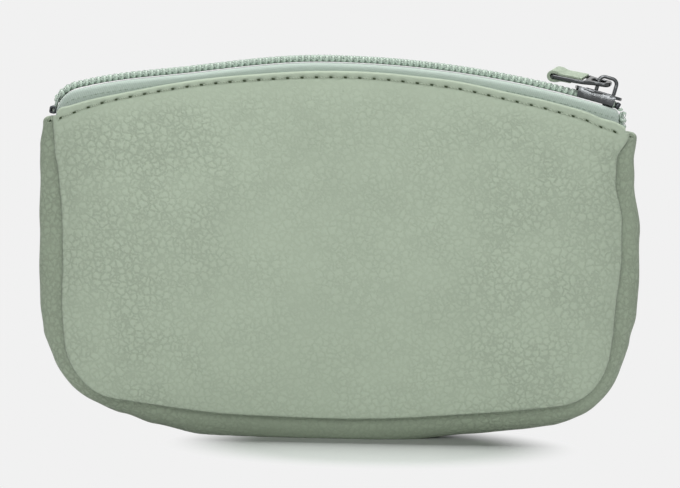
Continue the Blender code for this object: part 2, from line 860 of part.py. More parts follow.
slider_axis = bpy.data.objects.new("slider_axis", None)
slider_axis.location = (-crest_shift, 0, zip_centre_height)
slider_axis.rotation_euler = (0, slider_run() / zip_radius, 0)
slider_seat = bpy.data.objects.new("slider_seat", None)
slider_seat.location = (0, 0, zip_radius)
slider_seat.parent = slider_axis
pull_axis = bpy.data.objects.new("pull_axis", None)
pull_axis.location = (crown_offset, 0, plate_high + pull_axis_height)
pull_axis.rotation_euler = [math.radians(angle) for angle in
                            (pull_roll_angle, -pull_droop_angle, -pull_yaw_angle)]
pull_axis.parent = slider_seat
for empty in (slider_axis, slider_seat, pull_axis):
    pouch.objects.link(empty)

panel(FRONT, "front_panel")
panel(BACK, "back_panel")
gusset()
panel_lining(FRONT, "front_lining")
panel_lining(BACK, "back_lining")
gusset_lining()
zip_tape(FRONT, "front_zip_tape")
zip_tape(BACK, "back_zip_tape")
zip_coil(FRONT, "front_coil")
zip_coil(BACK, "back_coil")
slider_body(slider_seat)
slider_crown(slider_seat)
pull_frame_piece(pull_axis)
pull_leather_piece(pull_axis)
end_stop()
top_stop(FRONT, "front_top_stop")
top_stop(BACK, "back_top_stop")
top_stitching(FRONT, "front_top_stitching")
top_stitching(BACK, "back_top_stitching")
seam_thread(FRONT, "front_seam_thread")
seam_thread(BACK, "back_seam_thread")
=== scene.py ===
import math

import bmesh
import bpy
from mathutils import Euler, Matrix, Vector, noise
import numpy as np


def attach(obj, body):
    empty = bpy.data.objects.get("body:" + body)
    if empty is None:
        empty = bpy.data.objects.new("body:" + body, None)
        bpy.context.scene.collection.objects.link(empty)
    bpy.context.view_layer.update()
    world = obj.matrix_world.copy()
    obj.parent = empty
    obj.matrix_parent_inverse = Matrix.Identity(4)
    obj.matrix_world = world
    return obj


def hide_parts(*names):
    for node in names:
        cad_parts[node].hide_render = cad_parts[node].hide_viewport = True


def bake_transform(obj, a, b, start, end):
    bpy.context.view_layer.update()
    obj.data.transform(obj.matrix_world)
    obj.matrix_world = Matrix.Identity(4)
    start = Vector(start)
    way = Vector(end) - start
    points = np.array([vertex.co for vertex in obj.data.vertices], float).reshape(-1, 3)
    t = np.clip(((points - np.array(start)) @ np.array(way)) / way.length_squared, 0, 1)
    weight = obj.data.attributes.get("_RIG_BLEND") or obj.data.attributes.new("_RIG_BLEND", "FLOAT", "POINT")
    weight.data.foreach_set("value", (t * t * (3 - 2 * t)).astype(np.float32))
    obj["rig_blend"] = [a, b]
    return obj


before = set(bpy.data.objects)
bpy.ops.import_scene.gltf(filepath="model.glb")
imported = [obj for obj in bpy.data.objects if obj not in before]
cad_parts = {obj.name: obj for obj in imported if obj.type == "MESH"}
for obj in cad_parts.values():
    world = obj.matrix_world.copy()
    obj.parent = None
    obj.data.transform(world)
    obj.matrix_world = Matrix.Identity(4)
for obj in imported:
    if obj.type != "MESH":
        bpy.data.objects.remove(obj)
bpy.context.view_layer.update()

# Front and back panels: two pieces of tumbled cow leather, 0.9 mm thick and cut to one
# pattern. Their side and foot edges are turned in and sewn to the gusset, and their top
# edge is folded down over the zip tape and top stitched.
MM = 0.001
FRONT = -1
BACK = 1
LEFT = -1
RIGHT = 1

# The seam: each side leans in towards the foot, a round corner follows and the foot is a
# wide arc.
top_half = 57.45 * MM
foot_half = 53.75 * MM
crown_height = 73.2 * MM
crown_radius = 182 * MM
foot_lift = 4.15 * MM
foot_radius = 335 * MM
corner_radius = 12 * MM
leather = 0.9 * MM
layer_gap = 0.3 * MM
edge_radius = leather + layer_gap / 2
seam_allowance = 4 * MM
rim_reach = layer_gap / 2 + 2 * edge_radius
seam_reach_top = 5.8 * MM
seam_reach_foot = 8.0 * MM
seam_reach_full_share = 0.35
seam_wobble = 0.3 * MM
wobble_length = 17 * MM
swell_power = 3.2

# How far the stuffed gusset stands outside the plain seam line, and how far the thread draws
# the seam in from it, in mm, at shares of the half seam from its top corner to the foot
swell_shares = (0, 0.05, 0.10, 0.20, 0.30, 0.35, 0.40, 0.45, 0.50, 0.55, 0.60, 0.66, 0.75, 1)
left_swells = (2.0, 2.75, 3.0, 3.7, 4.25, 4.3, 3.85, 2.6, 2.2, 2.15, 3.1, 4.3, 5.2, 5.6)
right_swells = (1.1, 0.9, 1.45, 3.4, 4.2, 4.15, 3.25, 2.4, 2.55, 2.95, 3.7, 4.0, 4.35, 5.6)
pinch_shares = (0, 0.06, 0.10, 0.18, 0.25, 0.36, 0.48, 0.60, 0.80, 1)
left_pinches = (0.5, 0.7, 1.2, 1.5, 1.4, 0.9, 1.2, 0.7, 0.5, 0.6)
right_pinches = (1.0, 3.0, 2.8, 1.0, 0.5, 0.95, 1.35, 1.1, 0.8, 0.6)
corner_drop = 1.1 * MM
corner_drop_share = 0.07

# Soft dips of the folded edge, in mm: place along the pouch, half length and depth
fold_dips = ((-57, 2.5, -0.5), (-50, 5, -0.3), (-17, 8, 0.15), (15, 6, 0.15),
             (33, 9, 0.6), (46, 7, 0.5), (51, 2.5, 0.6), (57.5, 3.5, 1.7))


def mix(start, end, share):
    return start + (end - start) * share


def ease(share):
    """Smooth step from 0 to 1."""
    t = min(max(share, 0), 1)
    return t * t * (3 - 2 * t)


def fold_arc(x):
    """Height of the plain arc that the folded top edge of a panel was cut to."""
    return crown_height - crown_radius + math.sqrt(crown_radius ** 2 - x * x)


def fold_height(x):
    """Height of the folded top edge of a panel, with its dips."""
    dips = [depth * math.exp(-((x / MM - middle) / half) ** 2) for middle, half, depth in fold_dips]
    return fold_arc(x) - sum(dips) * MM


def from_table(share, shares, sizes):
    """Smooth value at a share, from sizes in mm at some shares."""
    for k in range(1, len(shares)):
        if share <= shares[k]:
            t = (share - shares[k - 1]) / (shares[k] - shares[k - 1])
            return mix(sizes[k - 1], sizes[k], ease(t)) * MM
    return sizes[-1] * MM


class Place:
    """A place on the seam: its point in the XZ plane, its outward direction and its share."""

    def __init__(self, x, z, angle, share):
        self.x = x
        self.z = z
        self.out_x = math.cos(angle)
        self.out_z = math.sin(angle)
        self.share = share
        if x < 0:
            self.pinch = from_table(share, pinch_shares, left_pinches)
            self.swell = from_table(share, swell_shares, left_swells)
        else:
            self.z -= corner_drop * ease(1 - share / corner_drop_share)
            self.pinch = from_table(share, pinch_shares, right_pinches)
            self.swell = from_table(share, swell_shares, right_swells)

    def plain_point(self, side, reach, outward):
        """Point at a reach from the middle plane, moved outward from the plain seam line."""
        loose = seam_wobble * noise.noise(Vector((self.x, side * self.z, self.z)) / wobble_length)
        outward += loose * ease(self.share * 8) * ease((1 - self.share) * 4)
        return Vector((self.x + outward * self.out_x, side * reach, self.z + outward * self.out_z))

    def point(self, side, reach, outward):
        """Point at a reach from the middle plane, moved outward from the drawn-in seam."""
        return self.plain_point(side, reach, outward - self.pinch)

    def reach(self):
        return mix(seam_reach_top, seam_reach_foot, ease(self.share / seam_reach_full_share))


side_top = fold_arc(top_half - edge_radius) - edge_radius
side_lean = math.atan2(top_half - foot_half, side_top)
side_up = Vector((math.sin(side_lean), math.cos(side_lean)))
side_out = Vector((math.cos(side_lean), -math.sin(side_lean)))
side_start = Vector((top_half, side_top))
foot_centre = Vector((0, foot_lift + foot_radius))
from_foot = side_start - corner_radius * side_out - foot_centre
along = from_foot.dot(side_up)
arcs_gap = foot_radius - corner_radius
side_length = along + math.sqrt(along ** 2 - from_foot.length_squared + arcs_gap ** 2)
corner_centre = side_start - corner_radius * side_out - side_length * side_up
heel_angle = math.atan2(corner_centre.y - foot_centre.y, corner_centre.x)
corner_length = corner_radius * (-side_lean - heel_angle)
foot_length = foot_radius * (heel_angle + math.pi / 2)
seam_length = side_length + corner_length + foot_length
corner_share = (side_length + corner_length / 2) / seam_length


def seam_place(share, mirrored):
    """Place at a share of the half seam, from its top corner to the middle of the foot."""
    run = share * seam_length
    if run <= side_length:
        point = side_start - side_up * run
        angle = -side_lean
    elif run <= side_length + corner_length:
        angle = -side_lean - (run - side_length) / corner_radius
        point = corner_centre + corner_radius * Vector((math.cos(angle), math.sin(angle)))
    else:
        angle = heel_angle - (run - side_length - corner_length) / foot_radius
        point = foot_centre + foot_radius * Vector((math.cos(angle), math.sin(angle)))
    if mirrored:
        return Place(-point.x, point.y, math.pi - angle, share)
    return Place(point.x, point.y, angle, share)


def full_seam(shares):
    """Places from the top left corner round the foot to the top right corner."""
    left = [seam_place(share, True) for share in shares]
    return left + [seam_place(share, False) for share in reversed(shares[:-1])]


def patch_point(foot, top, left, right, u, v, i, j):
    """Point of a sheet that spans its four edges, at column i and row j."""
    point = mix(foot[i], top[i], v) + mix(left[j], right[j], u)
    return point - mix(mix(foot[0], foot[-1], u), mix(top[0], top[-1], u), v)


def spaced(start, end, step_size):
    """Values from start to end, about a step apart, without the last."""
    count = max(round((end - start) / step_size), 1)
    return [mix(start, end, k / count) for k in range(count)]


def sheet_grid(columns, rows, place):
    """Open sheet of columns by rows faces; place(i, j) gives each vertex its point."""
    bm = bmesh.new()
    # Vertex layer for the painted shade in seam crevices and needle pits
    bm.verts.layers.float.new("painted_shade")
    bm.verts.layers.float.new("calm")
    bm.loops.layers.uv.new("cloth")
    bmesh.ops.create_grid(bm, x_segments=columns, y_segments=rows, size=1)
    table = {}
    for vert in bm.verts:
        i = round((vert.co.x + 1) / 2 * columns)
        j = round((vert.co.y + 1) / 2 * rows)
        table[i, j] = vert
    for (i, j), vert in table.items():
        vert.co = place(i, j)
    return bm, table


def extrude_chain(bm, chain, places):
    """Pull a new row of vertices out of an open edge and put each one in its place."""
    edges = [bm.edges.get(pair) for pair in zip(chain, chain[1:])]
    made = bmesh.ops.extrude_edge_only(bm, edges=edges)["geom"]
    roots = set(chain)
    fresh = {}
    for vert in [item for item in made if isinstance(item, bmesh.types.BMVert)]:
        for edge in vert.link_edges:
            if edge.other_vert(vert) in roots:
                fresh[edge.other_vert(vert)] = vert
    row = [fresh[vert] for vert in chain]
    for vert, point in zip(row, places):
        vert.co = point
    return row


def face_outwards(bm, sample, outward):
    """Turn every face the same way, so that the sample face looks outward."""
    bmesh.ops.recalc_face_normals(bm, faces=bm.faces)
    bm.normal_update()
    if sample.normal.dot(outward) < 0:
        bmesh.ops.reverse_faces(bm, faces=bm.faces)


def shown(data):
    """Object in the scene that holds a mesh, curve, lamp or camera."""
    obj = bpy.data.objects.new(data.name, data)
    bpy.context.scene.collection.objects.link(obj)
    return obj


def object_from(bm, name, material, smooth_angle=40):
    """Object that holds a finished bmesh, shaded smooth between its sharp edges."""
    mesh = bpy.data.meshes.new(name)
    bm.to_mesh(mesh)
    bm.free()
    mesh.shade_smooth()
    mesh.set_sharp_from_angle(angle=math.radians(smooth_angle))
    mesh.materials.append(material)
    return shown(mesh)


def final_mesh(obj):
    """Mesh of an object with its modifiers or its curve's bevel applied."""
    bpy.context.view_layer.update()
    graph = bpy.context.evaluated_depsgraph_get()
    return bpy.data.meshes.new_from_object(obj.evaluated_get(graph))


def settle(obj):
    """Apply the object's modifiers, so that its mesh is final."""
    mesh = final_mesh(obj)
    obj.modifiers.clear()
    obj.data = mesh
    return obj


def thicken(obj, thickness, offset):
    """Give a sheet its wall: offset -1 puts it behind the surface, 0 half on each side."""
    wall = obj.modifiers.new("wall", "SOLIDIFY")
    wall.thickness = thickness
    wall.offset = offset
    return settle(obj)


def halved(obj, name):
    """Left and right halves of a piece cut at its middle column, shaded as the whole was."""
    normals = [Vector(corner.vector) for corner in obj.data.corner_normals]
    halves = []
    for side, word in ((-1, "left"), (1, "right")):
        bm = bmesh.new()
        bm.from_mesh(obj.data)
        kept_normals = bm.loops.layers.float_vector.new("kept_normals")
        bm.faces.ensure_lookup_table()
        for face in bm.faces:
            for loop in face.loops:
                loop[kept_normals] = normals[loop.index]
        gone = [face for face in bm.faces if face.calc_center_median().x * side < 0]
        bmesh.ops.delete(bm, geom=gone, context="FACES")
        cut = [edge for edge in bm.edges if edge.is_boundary]
        for edge in cut:
            edge.smooth = False
        cap = bmesh.ops.triangle_fill(bm, edges=cut, use_beauty=True, normal=(side, 0, 0))["geom"]
        for face in [part for part in cap if isinstance(part, bmesh.types.BMFace)]:
            face.normal_update()
            if face.normal.x * side > 0:
                face.normal_flip()
            for loop in face.loops:
                loop[kept_normals] = (0, 0, 0)
        mesh = bpy.data.meshes.new(name + "_" + word)
        bm.to_mesh(mesh)
        bm.free()
        mesh.materials.append(obj.data.materials[0])
        kept = [Vector(item.vector) for item in mesh.attributes["kept_normals"].data]
        mesh.normals_split_custom_set(kept)
        mesh.attributes.remove(mesh.attributes["kept_normals"])
        halves.append(shown(mesh))
    bpy.data.objects.remove(obj)
    return halves


# The front of the pouch bows open between its two sewn ends: what bows follows the pouch
# at its outer ends and the front side in the middle.
bow_half = 52 * MM


def bow_front(pieces, node=None):
    """Bend the left and right halves of a front piece with the opening mouth."""
    for piece in pieces:
        outer = -bow_half if piece.name.endswith("left") else bow_half
        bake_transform(piece, "pouch", "front_side", start=(outer, 0, 0), end=(0, 0, 0))
        if node:
            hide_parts(node)


def carry(piece, body, node=None):
    """Put a rigid piece on its body, in place of a node of the frame."""
    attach(piece, body)
    if node:
        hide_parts(node)
    return piece


# Tumbled leather, drum dyed sage: soft cells 0.7 to 1.4 mm across, crisp towards the sides
# and calm in the middle, with duller creases darkened by painted shade, fine pores and a satin
# finish. Painted shade also darkens the seam crevices and the needle pits.
leather_colour = "A3B09D"
# The gusset's colour is darker than the panels': painted shade on the band
gusset_shaded_colour = "96A38F"
# Painted shade: the creases are darkened to this share of the base colour
crease_shade_share = 0.82
# Colour that the painted shade in seam crevices and needle pits darkens towards
painted_shade_colour = "36432F"
pebble_size = 1.35 * MM
small_pebble_size = 0.7 * MM
pebble_warp = 1.2 * MM
warp_size = 1.2 * MM
patch_size = 9 * MM
pore_size = 0.35 * MM
mottle_size = 20 * MM
grain_depth = 0.155 * MM
calm_half = 12 * MM
lively_half = 38 * MM
crown_roughness = 0.50
leather_gloss = 0.2


def linear(hex_colour):
    """Colour as linear values from an sRGB hex string."""
    parts = [int(hex_colour[k:k + 2], 16) / 255 for k in (0, 2, 4)]
    return [c / 12.92 if c <= 0.04045 else ((c + 0.055) / 1.055) ** 2.4 for c in parts] + [1]


def set_inputs(tree, node, links):
    """Fill inputs by name or index with a value, a socket or another node's first output."""
    for key, value in links:
        if isinstance(value, bpy.types.Node):
            value = next(socket for socket in value.outputs if socket.enabled)
        if isinstance(value, bpy.types.NodeSocket):
            tree.links.new(value, node.inputs[key])
        else:
            node.inputs[key].default_value = value


def add_node(tree, kind, links=(), **settings):
    """Shader node with its settings and its links, which set_inputs makes."""
    made = tree.nodes.new("ShaderNode" + kind)
    for name, value in settings.items():
        setattr(made, name, value)
    set_inputs(tree, made, links)
    return made


def new_material(name):
    """Material, its node tree and its Principled shader."""
    material = bpy.data.materials.new(name)
    material.use_nodes = True
    tree = material.node_tree
    return material, tree, tree.nodes["Principled BSDF"]


def tinted(hex_colour, share):
    """Linear colour made lighter or darker by a share."""
    return [min(c * share, 1) for c in linear(hex_colour)[:3]] + [1]


def leather_material(name, base, calm_strength):
    """Grained leather; calm_strength is how strong the grain is in the middle."""
    material, tree, shader = new_material(name)
    place = add_node(tree, "TexCoord").outputs["Object"]
    drift = add_node(tree, "TexNoise", [
        ("Vector", place), ("Scale", 1 / warp_size), ("Detail", 3.0), ("Roughness", 0.6)])
    drift = add_node(tree, "VectorMath", [
        (0, drift.outputs["Color"]), ("Scale", pebble_warp)], operation="SCALE")
    warped = add_node(tree, "VectorMath", [(0, place), (1, drift)])
    big = add_node(tree, "TexVoronoi", [
        ("Vector", warped), ("Scale", 1 / pebble_size)], feature="DISTANCE_TO_EDGE")
    small = add_node(tree, "TexVoronoi", [
        ("Vector", warped), ("Scale", 1 / small_pebble_size)],
        feature="DISTANCE_TO_EDGE")
    small_dome = add_node(tree, "MapRange", [
        ("Value", small), ("From Min", 0.0), ("From Max", 0.45),
        ("To Max", 0.45)], interpolation_type="SMOOTHSTEP")
    dome = add_node(tree, "MapRange", [
        ("Value", big), ("From Min", -0.08), ("From Max", 0.50),
        ("To Min", small_dome), ("To Max", 1.0)],
        interpolation_type="SMOOTHSTEP")
    crease = add_node(tree, "MapRange", [
        ("Value", dome), ("From Min", 0.05), ("From Max", 0.75),
        ("To Min", 1.0), ("To Max", 0.0)], interpolation_type="SMOOTHSTEP")
    across = add_node(tree, "SeparateXYZ", [(0, place)])
    across = add_node(tree, "Math", [(0, across)], operation="ABSOLUTE")
    zone = add_node(tree, "MapRange", [
        ("Value", across), ("From Min", calm_half), ("From Max", lively_half),
        ("To Min", calm_strength), ("To Max", 1.0)], interpolation_type="SMOOTHSTEP")
    patches = add_node(tree, "TexNoise", [
        ("Vector", place), ("Scale", 1 / patch_size), ("Detail", 2.0)])
    patches = add_node(tree, "MapRange", [
        ("Value", patches), ("From Min", 0.32), ("From Max", 0.62),
        ("To Min", 0.60), ("To Max", 1.0)], interpolation_type="SMOOTHSTEP")
    strength = add_node(tree, "Math", [
        (0, zone), (1, patches)], operation="MULTIPLY")
    calm = add_node(tree, "Attribute", attribute_name="calm")
    lively = add_node(tree, "MapRange", [
        ("Value", calm.outputs["Fac"]), ("To Min", 1.0), ("To Max", 0.25)])
    strength = add_node(tree, "Math", [
        (0, strength), (1, lively)], operation="MULTIPLY")
    pores = add_node(tree, "TexNoise", [
        ("Vector", place), ("Scale", 1 / pore_size), ("Detail", 3.0)])
    pores = add_node(tree, "Math", [
        (0, pores), (1, 0.50)], operation="MULTIPLY")
    height = add_node(tree, "Math", [
        (0, dome), (1, strength), (2, pores)],
        operation="MULTIPLY_ADD")
    bump = add_node(tree, "Bump", [
        ("Height", height), ("Distance", grain_depth), ("Strength", 0.8)])
    mottle = add_node(tree, "TexNoise", [
        ("Vector", place), ("Scale", 1 / mottle_size), ("Detail", 5.0)])
    mottle = add_node(tree, "MapRange", [
        ("Value", mottle), ("From Min", 0.3), ("From Max", 0.7)])
    tone = add_node(tree, "Mix", [
        (0, mottle), (6, tinted(base, 0.96)), (7, tinted(base, 1.04))], data_type="RGBA")
    # Painted shade in the creases of the grain
    crease_shade = add_node(tree, "Math", [
        (0, crease), (1, strength)], operation="MULTIPLY")
    tone = add_node(tree, "Mix", [
        (0, crease_shade), (6, tone), (7, tinted(base, crease_shade_share))], data_type="RGBA")
    # Painted shade in the seam crevices and needle pits, from a vertex attribute
    painted_shade = add_node(tree, "Attribute", attribute_name="painted_shade")
    tone = add_node(tree, "Mix", [
        (0, painted_shade.outputs["Fac"]), (6, tone), (7, linear(painted_shade_colour))],
        data_type="RGBA")
    rough = add_node(tree, "MapRange", [
        ("Value", dome), ("To Min", crown_roughness + 0.14), ("To Max", crown_roughness)])
    set_inputs(tree, shader, [
        ("Base Color", tone), ("Roughness", rough), ("Normal", bump),
        ("Specular IOR Level", leather_gloss)])
    return material


panel_leather = leather_material("tumbled_cowhide_panels", leather_colour, 0.60)
# Same leather as the panels, with a darker colour as painted shade
shaded_band_leather = leather_material("tumbled_cowhide_band_shaded", gusset_shaded_colour, 0.5)

# A panel swells over what is inside. Its stitch line presses a groove, with a pit per hole.
panel_swell = 2.8 * MM
panel_swell_power = 8
fullest_share = 0.6
hem_inner_reach = 5.125 * MM
hem_outer_reach = hem_inner_reach + 2 * edge_radius
hem_depth = 7 * MM
mesh_step = 0.45 * MM
fine_step = 0.2 * MM
fine_depth = 3.6 * MM
turn_steps = 8
turn_shade = 0.85
fold_steps = 12
fold_squareness = 0.6
stitch_places = (-58, -50, -45, -30, 0, 30, 45, 52, 56)
stitch_drops = (2.3, 1.45, 1.05, 1.1, 1.25, 1.45, 1.65, 1.8, 2.4)
stitch_pitch = 2.825 * MM
stitch_count = 39
first_stitch_run = -56.1 * MM
groove_depth = 0.05 * MM
groove_half = 0.40 * MM
pit_depth = 0.24 * MM
pit_half = 0.17 * MM
pit_half_length = 0.40 * MM
cell_lump = 0.03 * MM
lump_size = 2.1 * MM
wave_height = 0.3 * MM
wave_size = 19 * MM
grain_start = 4 * MM
smooth_edge_start = 1.5 * MM
smooth_edge_length = 5 * MM
fold_end_length = 2 * MM
end_fold_share = 0.45
swell_rise_power = 3
swell_fall_power = 2.2


def belly(v):
    """Swelling of a panel at a share of its height, 1 where it is fullest."""
    if v < fullest_share:
        return 1 - (1 - v / fullest_share) ** swell_rise_power
    return 1 - ((v - fullest_share) / (1 - fullest_share)) ** swell_fall_power


def fold_run(x):
    """Length along the folded edge from its middle."""
    return crown_radius * math.asin(x / crown_radius)


def lumps(point):
    """Raised cells of the grain, for the mesh: 1 on a cell's crown, 0 in its creases."""
    warped = point / lump_size + noise.noise_vector(point / (2 * lump_size)) * 0.6
    distances = noise.voronoi(warped)[0]
    return ease((distances[1] - distances[0]) / 0.5)


def leather_relief(point, share):
    """Height of the grain and of the soft waves of the leather at a point."""
    zone = mix(0.35, 1, ease((abs(point.x) - calm_half) / (lively_half - calm_half)))
    patch = 0.5 + noise.noise(point / patch_size) * 0.8
    height = cell_lump * zone * max(patch, 0.15) * lumps(point)
    waves = noise.noise(point / wave_size) + 0.5 * noise.noise(point * 2.3 / wave_size)
    return (height + wave_height * waves) * share


def stitch_drop(x):
    """Distance of the stitches below the folded edge."""
    return from_table(x / MM, stitch_places, stitch_drops)


def stitch_press(x, drop):
    """How deep the stitch line presses the leather, and the painted shade in its holes."""
    off_line = abs(drop - stitch_drop(x))
    if off_line > 3 * groove_half:
        return 0, 0
    number = (fold_run(x) - first_stitch_run) / stitch_pitch
    if not -0.3 < number < stitch_count + 0.3:
        return 0, 0
    to_hole = abs(number - round(number)) * stitch_pitch
    groove = groove_depth * math.exp(-(off_line / groove_half) ** 2)
    pit = math.exp(-((off_line / pit_half) ** 2 + (to_hole / pit_half_length) ** 2) / 2)
    return groove + pit_depth * pit, pit


def run_shares(edge):
    """Share of an edge's length at each of its points."""
    runs = [0]
    for before, after in zip(edge, edge[1:]):
        runs.append(runs[-1] + (after - before).length)
    return [run / runs[-1] for run in runs]


def panel(side, name):
    """Leather panel with its seam allowance and its top edge turned to the inside."""
    fine_end = fine_depth / seam_length
    upper = spaced(0, fine_end, fine_step / seam_length)
    lower = spaced(fine_end, corner_share, mesh_step / seam_length)
    sole = spaced(corner_share, 1, mesh_step / seam_length)
    seam = full_seam(upper + lower + sole + [1])
    rows = len(upper) + len(lower)
    columns = len(seam) - 1 - 2 * rows
    edge = [place.point(side, place.reach() + rim_reach, -edge_radius) for place in seam]
    left = edge[rows::-1]
    foot = edge[rows:rows + columns + 1]
    right = edge[rows + columns:]
    top = []
    for point in foot:
        share = point.x / foot[-1].x
        x = right[-1].x * share
        reach = mix(hem_outer_reach, abs(right[-1].y), share * share)
        top.append(Vector((x, side * reach, fold_height(x) - edge_radius)))
    top[0] = left[-1]
    top[-1] = right[-1]
    across = run_shares(foot)
    upward = run_shares(left)
    pits = {}

    def place(i, j):
        u = across[i]
        v = upward[j]
        point = patch_point(foot, top, left, right, u, v, i, j)
        width = 1 - abs(2 * u - 1) ** panel_swell_power
        swell = width * belly(v)
        calm = ease((1 - abs(2 * u - 1)) * 6) * ease(v * 5) * ease((1 - v) * 5)
        drop = fold_height(point.x) - point.z
        calm *= ease((drop - edge_radius) / grain_start)
        press, pit = stitch_press(point.x, drop)
        pits[i, j] = pit, 1 - ease((drop - smooth_edge_start) / smooth_edge_length)
        point.y += side * (panel_swell * swell + leather_relief(point, calm) - press)
        return point

    bm, table = sheet_grid(columns, rows, place)
    painted_shade = bm.verts.layers.float["painted_shade"]
    calm_layer = bm.verts.layers.float["calm"]
    # Painted shade in the needle pits of the stitch line
    for key, vert in table.items():
        vert[painted_shade], vert[calm_layer] = pits[key]
    chain = [table[0, j] for j in range(rows, 0, -1)]
    chain += [table[i, 0] for i in range(columns + 1)]
    chain += [table[columns, j] for j in range(1, rows + 1)]
    for k in range(1, turn_steps + 1):
        turn = math.radians(mix(90, -90, k / turn_steps))
        outward = edge_radius * (math.cos(turn) - 1)
        reach = layer_gap / 2 + edge_radius * (1 + math.sin(turn))
        chain = extrude_chain(bm, chain, [s.point(side, s.reach() + reach, outward) for s in seam])
        # Painted shade on the turned edge towards the seam, darkening its crevice
        for vert in chain:
            vert[painted_shade] = turn_shade * ease((k - 2) / 2)
    flange = [s.point(side, s.reach() + layer_gap / 2, -edge_radius - seam_allowance) for s in seam]
    for corner in (flange[0], flange[-1]):
        corner.z -= edge_radius
    extrude_chain(bm, chain, flange)
    chain = [table[i, rows] for i in range(columns + 1)]
    base = []
    for vert in chain:
        press, pit = stitch_press(vert.co.x, edge_radius)
        base.append(vert.co + Vector((0, side * press, 0)))
    half = min(-base[0].x, base[-1].x)
    ends = [ease((half - abs(point.x)) / fold_end_length) for point in base]
    for k in range(1, fold_steps + 1):
        turned = []
        holes = []
        for point, end in zip(base, ends):
            turn = math.pi * k / fold_steps * mix(end_fold_share, 1, end)
            across = math.copysign(abs(math.cos(turn)) ** fold_squareness, math.cos(turn))
            up = edge_radius * math.sin(turn) ** fold_squareness
            press, pit = stitch_press(point.x, edge_radius - up)
            facing = max(across, 0)
            inward = edge_radius * (1 - across) + press * facing
            holes.append(pit * facing)
            turned.append(point + Vector((0, -side * inward, up)))
        chain = extrude_chain(bm, chain, turned)
        # Painted shade in the needle pits on the folded edge
        for vert, pit in zip(chain, holes):
            vert[painted_shade] = pit
    limit = top_half - 2 * edge_radius - seam_allowance
    flap = [vert for vert in chain if abs(vert.co.x) < limit]
    extrude_chain(bm, flap, [vert.co - Vector((0, 0, hem_depth)) for vert in flap])
    sample = table[columns // 2, rows // 2].link_faces[0]
    face_outwards(bm, sample, Vector((0, side, 0)))
    return thicken(object_from(bm, name, panel_leather, 180), leather, -1)


front_halves = halved(panel(FRONT, "front_leather"), "front_leather")
bow_front(front_halves, "front_panel")
carry(panel(BACK, "back_leather"), "pouch", "back_panel")

# Gusset: one band of the same leather round the sides and the foot, coloured darker than the
# panels as painted shade on its sides. Its long edges are turned in to the two seams, it swells
# outside them, and its short ends are folded down inside, beside the ends of the zip.
gusset_columns = 34
end_turn_share = 0.86
end_flap = 6 * MM
end_flap_lean = 2 * MM
left_end_drop = 1.2 * MM
right_end_drop = 1.0 * MM
end_drop_share = 0.10
flange_rows = 4
seam_shade = 0.8
shaded_rows = 7.5
shade_fade_rows = 1.5


def gusset_point(place, side, share):
    """Point of the gusset's outer surface at a share of its half width."""
    half = place.reach() - layer_gap / 2 - edge_radius
    outward = mix(place.swell, -place.pinch, share ** swell_power)
    point = place.plain_point(side, half * share, outward)
    out = Vector((place.out_x, 0, place.out_z))
    calm = ease((1 - share) * 3)
    point += out * (leather_relief(point, calm * 0.5) - cell_lump / 2)
    point.z = max(point.z, 0)
    return point


def gusset_profile(place, rise):
    """Cross-section of the gusset from its front seam allowance to its back one."""
    rows = {}
    for side in (FRONT, BACK):
        inner = place.reach() - layer_gap / 2
        row = [place.point(side, inner, -edge_radius - seam_allowance * (1 - k / flange_rows))
               for k in range(flange_rows)]
        for k in range(turn_steps // 2 + 1):
            turn = math.pi / 2 * k / (turn_steps // 2)
            outward = edge_radius * (math.sin(turn) - 1)
            row.append(place.point(side, inner - edge_radius * (1 - math.cos(turn)), outward))
        half = gusset_columns // 2
        row += [gusset_point(place, side, 1 - k / half) for k in range(1, half)]
        rows[side] = row
    middle = gusset_point(place, FRONT, 0)
    profile = rows[FRONT] + [middle] + rows[BACK][::-1]
    return [point + Vector((0, 0, rise)) for point in profile]


def gusset_band():
    """The whole band as one sheet with a wall."""
    seam = full_seam(spaced(0, 1, mesh_step / seam_length) + [1])
    profiles = []
    for place in seam:
        drop = left_end_drop if place.x < 0 else right_end_drop
        profiles.append(gusset_profile(place, -drop * ease(1 - place.share / end_drop_share)))
    columns = len(profiles) - 1
    rows = len(profiles[0]) - 1
    bm, table = sheet_grid(columns, rows, lambda i, j: profiles[i][j])
    painted_shade = bm.verts.layers.float["painted_shade"]
    # Painted shade on the rows beside each seam, darkening its crevice
    for (i, j), vert in table.items():
        turned = min(j, rows - j)
        vert[painted_shade] = seam_shade * ease((shaded_rows - turned) / shade_fade_rows)
    for i in (0, columns):
        out = Vector((seam[i].out_x, 0, seam[i].out_z))
        widest = end_turn_share * abs(table[i, rows // 2 - gusset_columns // 2 + 1].co.y)
        chain = [table[i, j] for j in range(rows + 1)
                 if abs(table[i, j].co.y) < widest and 2 * flange_rows < j < rows - 2 * flange_rows]
        base = [vert.co.copy() for vert in chain]
        for k in range(1, turn_steps + 1):
            turn = math.pi * k / turn_steps
            shift = -out * edge_radius * (1 - math.cos(turn))
            shift.z += edge_radius * math.sin(turn)
            chain = extrude_chain(bm, chain, [point + shift for point in base])
        hang = -out * end_flap_lean - Vector((0, 0, end_flap))
        extrude_chain(bm, chain, [vert.co + hang for vert in chain])
    sample = table[columns // 2, rows // 2].link_faces[0]
    face_outwards(bm, sample, Vector((0, 0, -1)))
    return thicken(object_from(bm, "gusset_leather", shaded_band_leather, 180), leather, -1)


carry(gusset_band(), "pouch", "gusset")


# Linings: thin woven cotton behind each panel and inside the gusset. The first two hang from
# the zip tapes, all reach to the seam allowances, and they lie in slack folds.
fuzz_size = 0.45 * MM


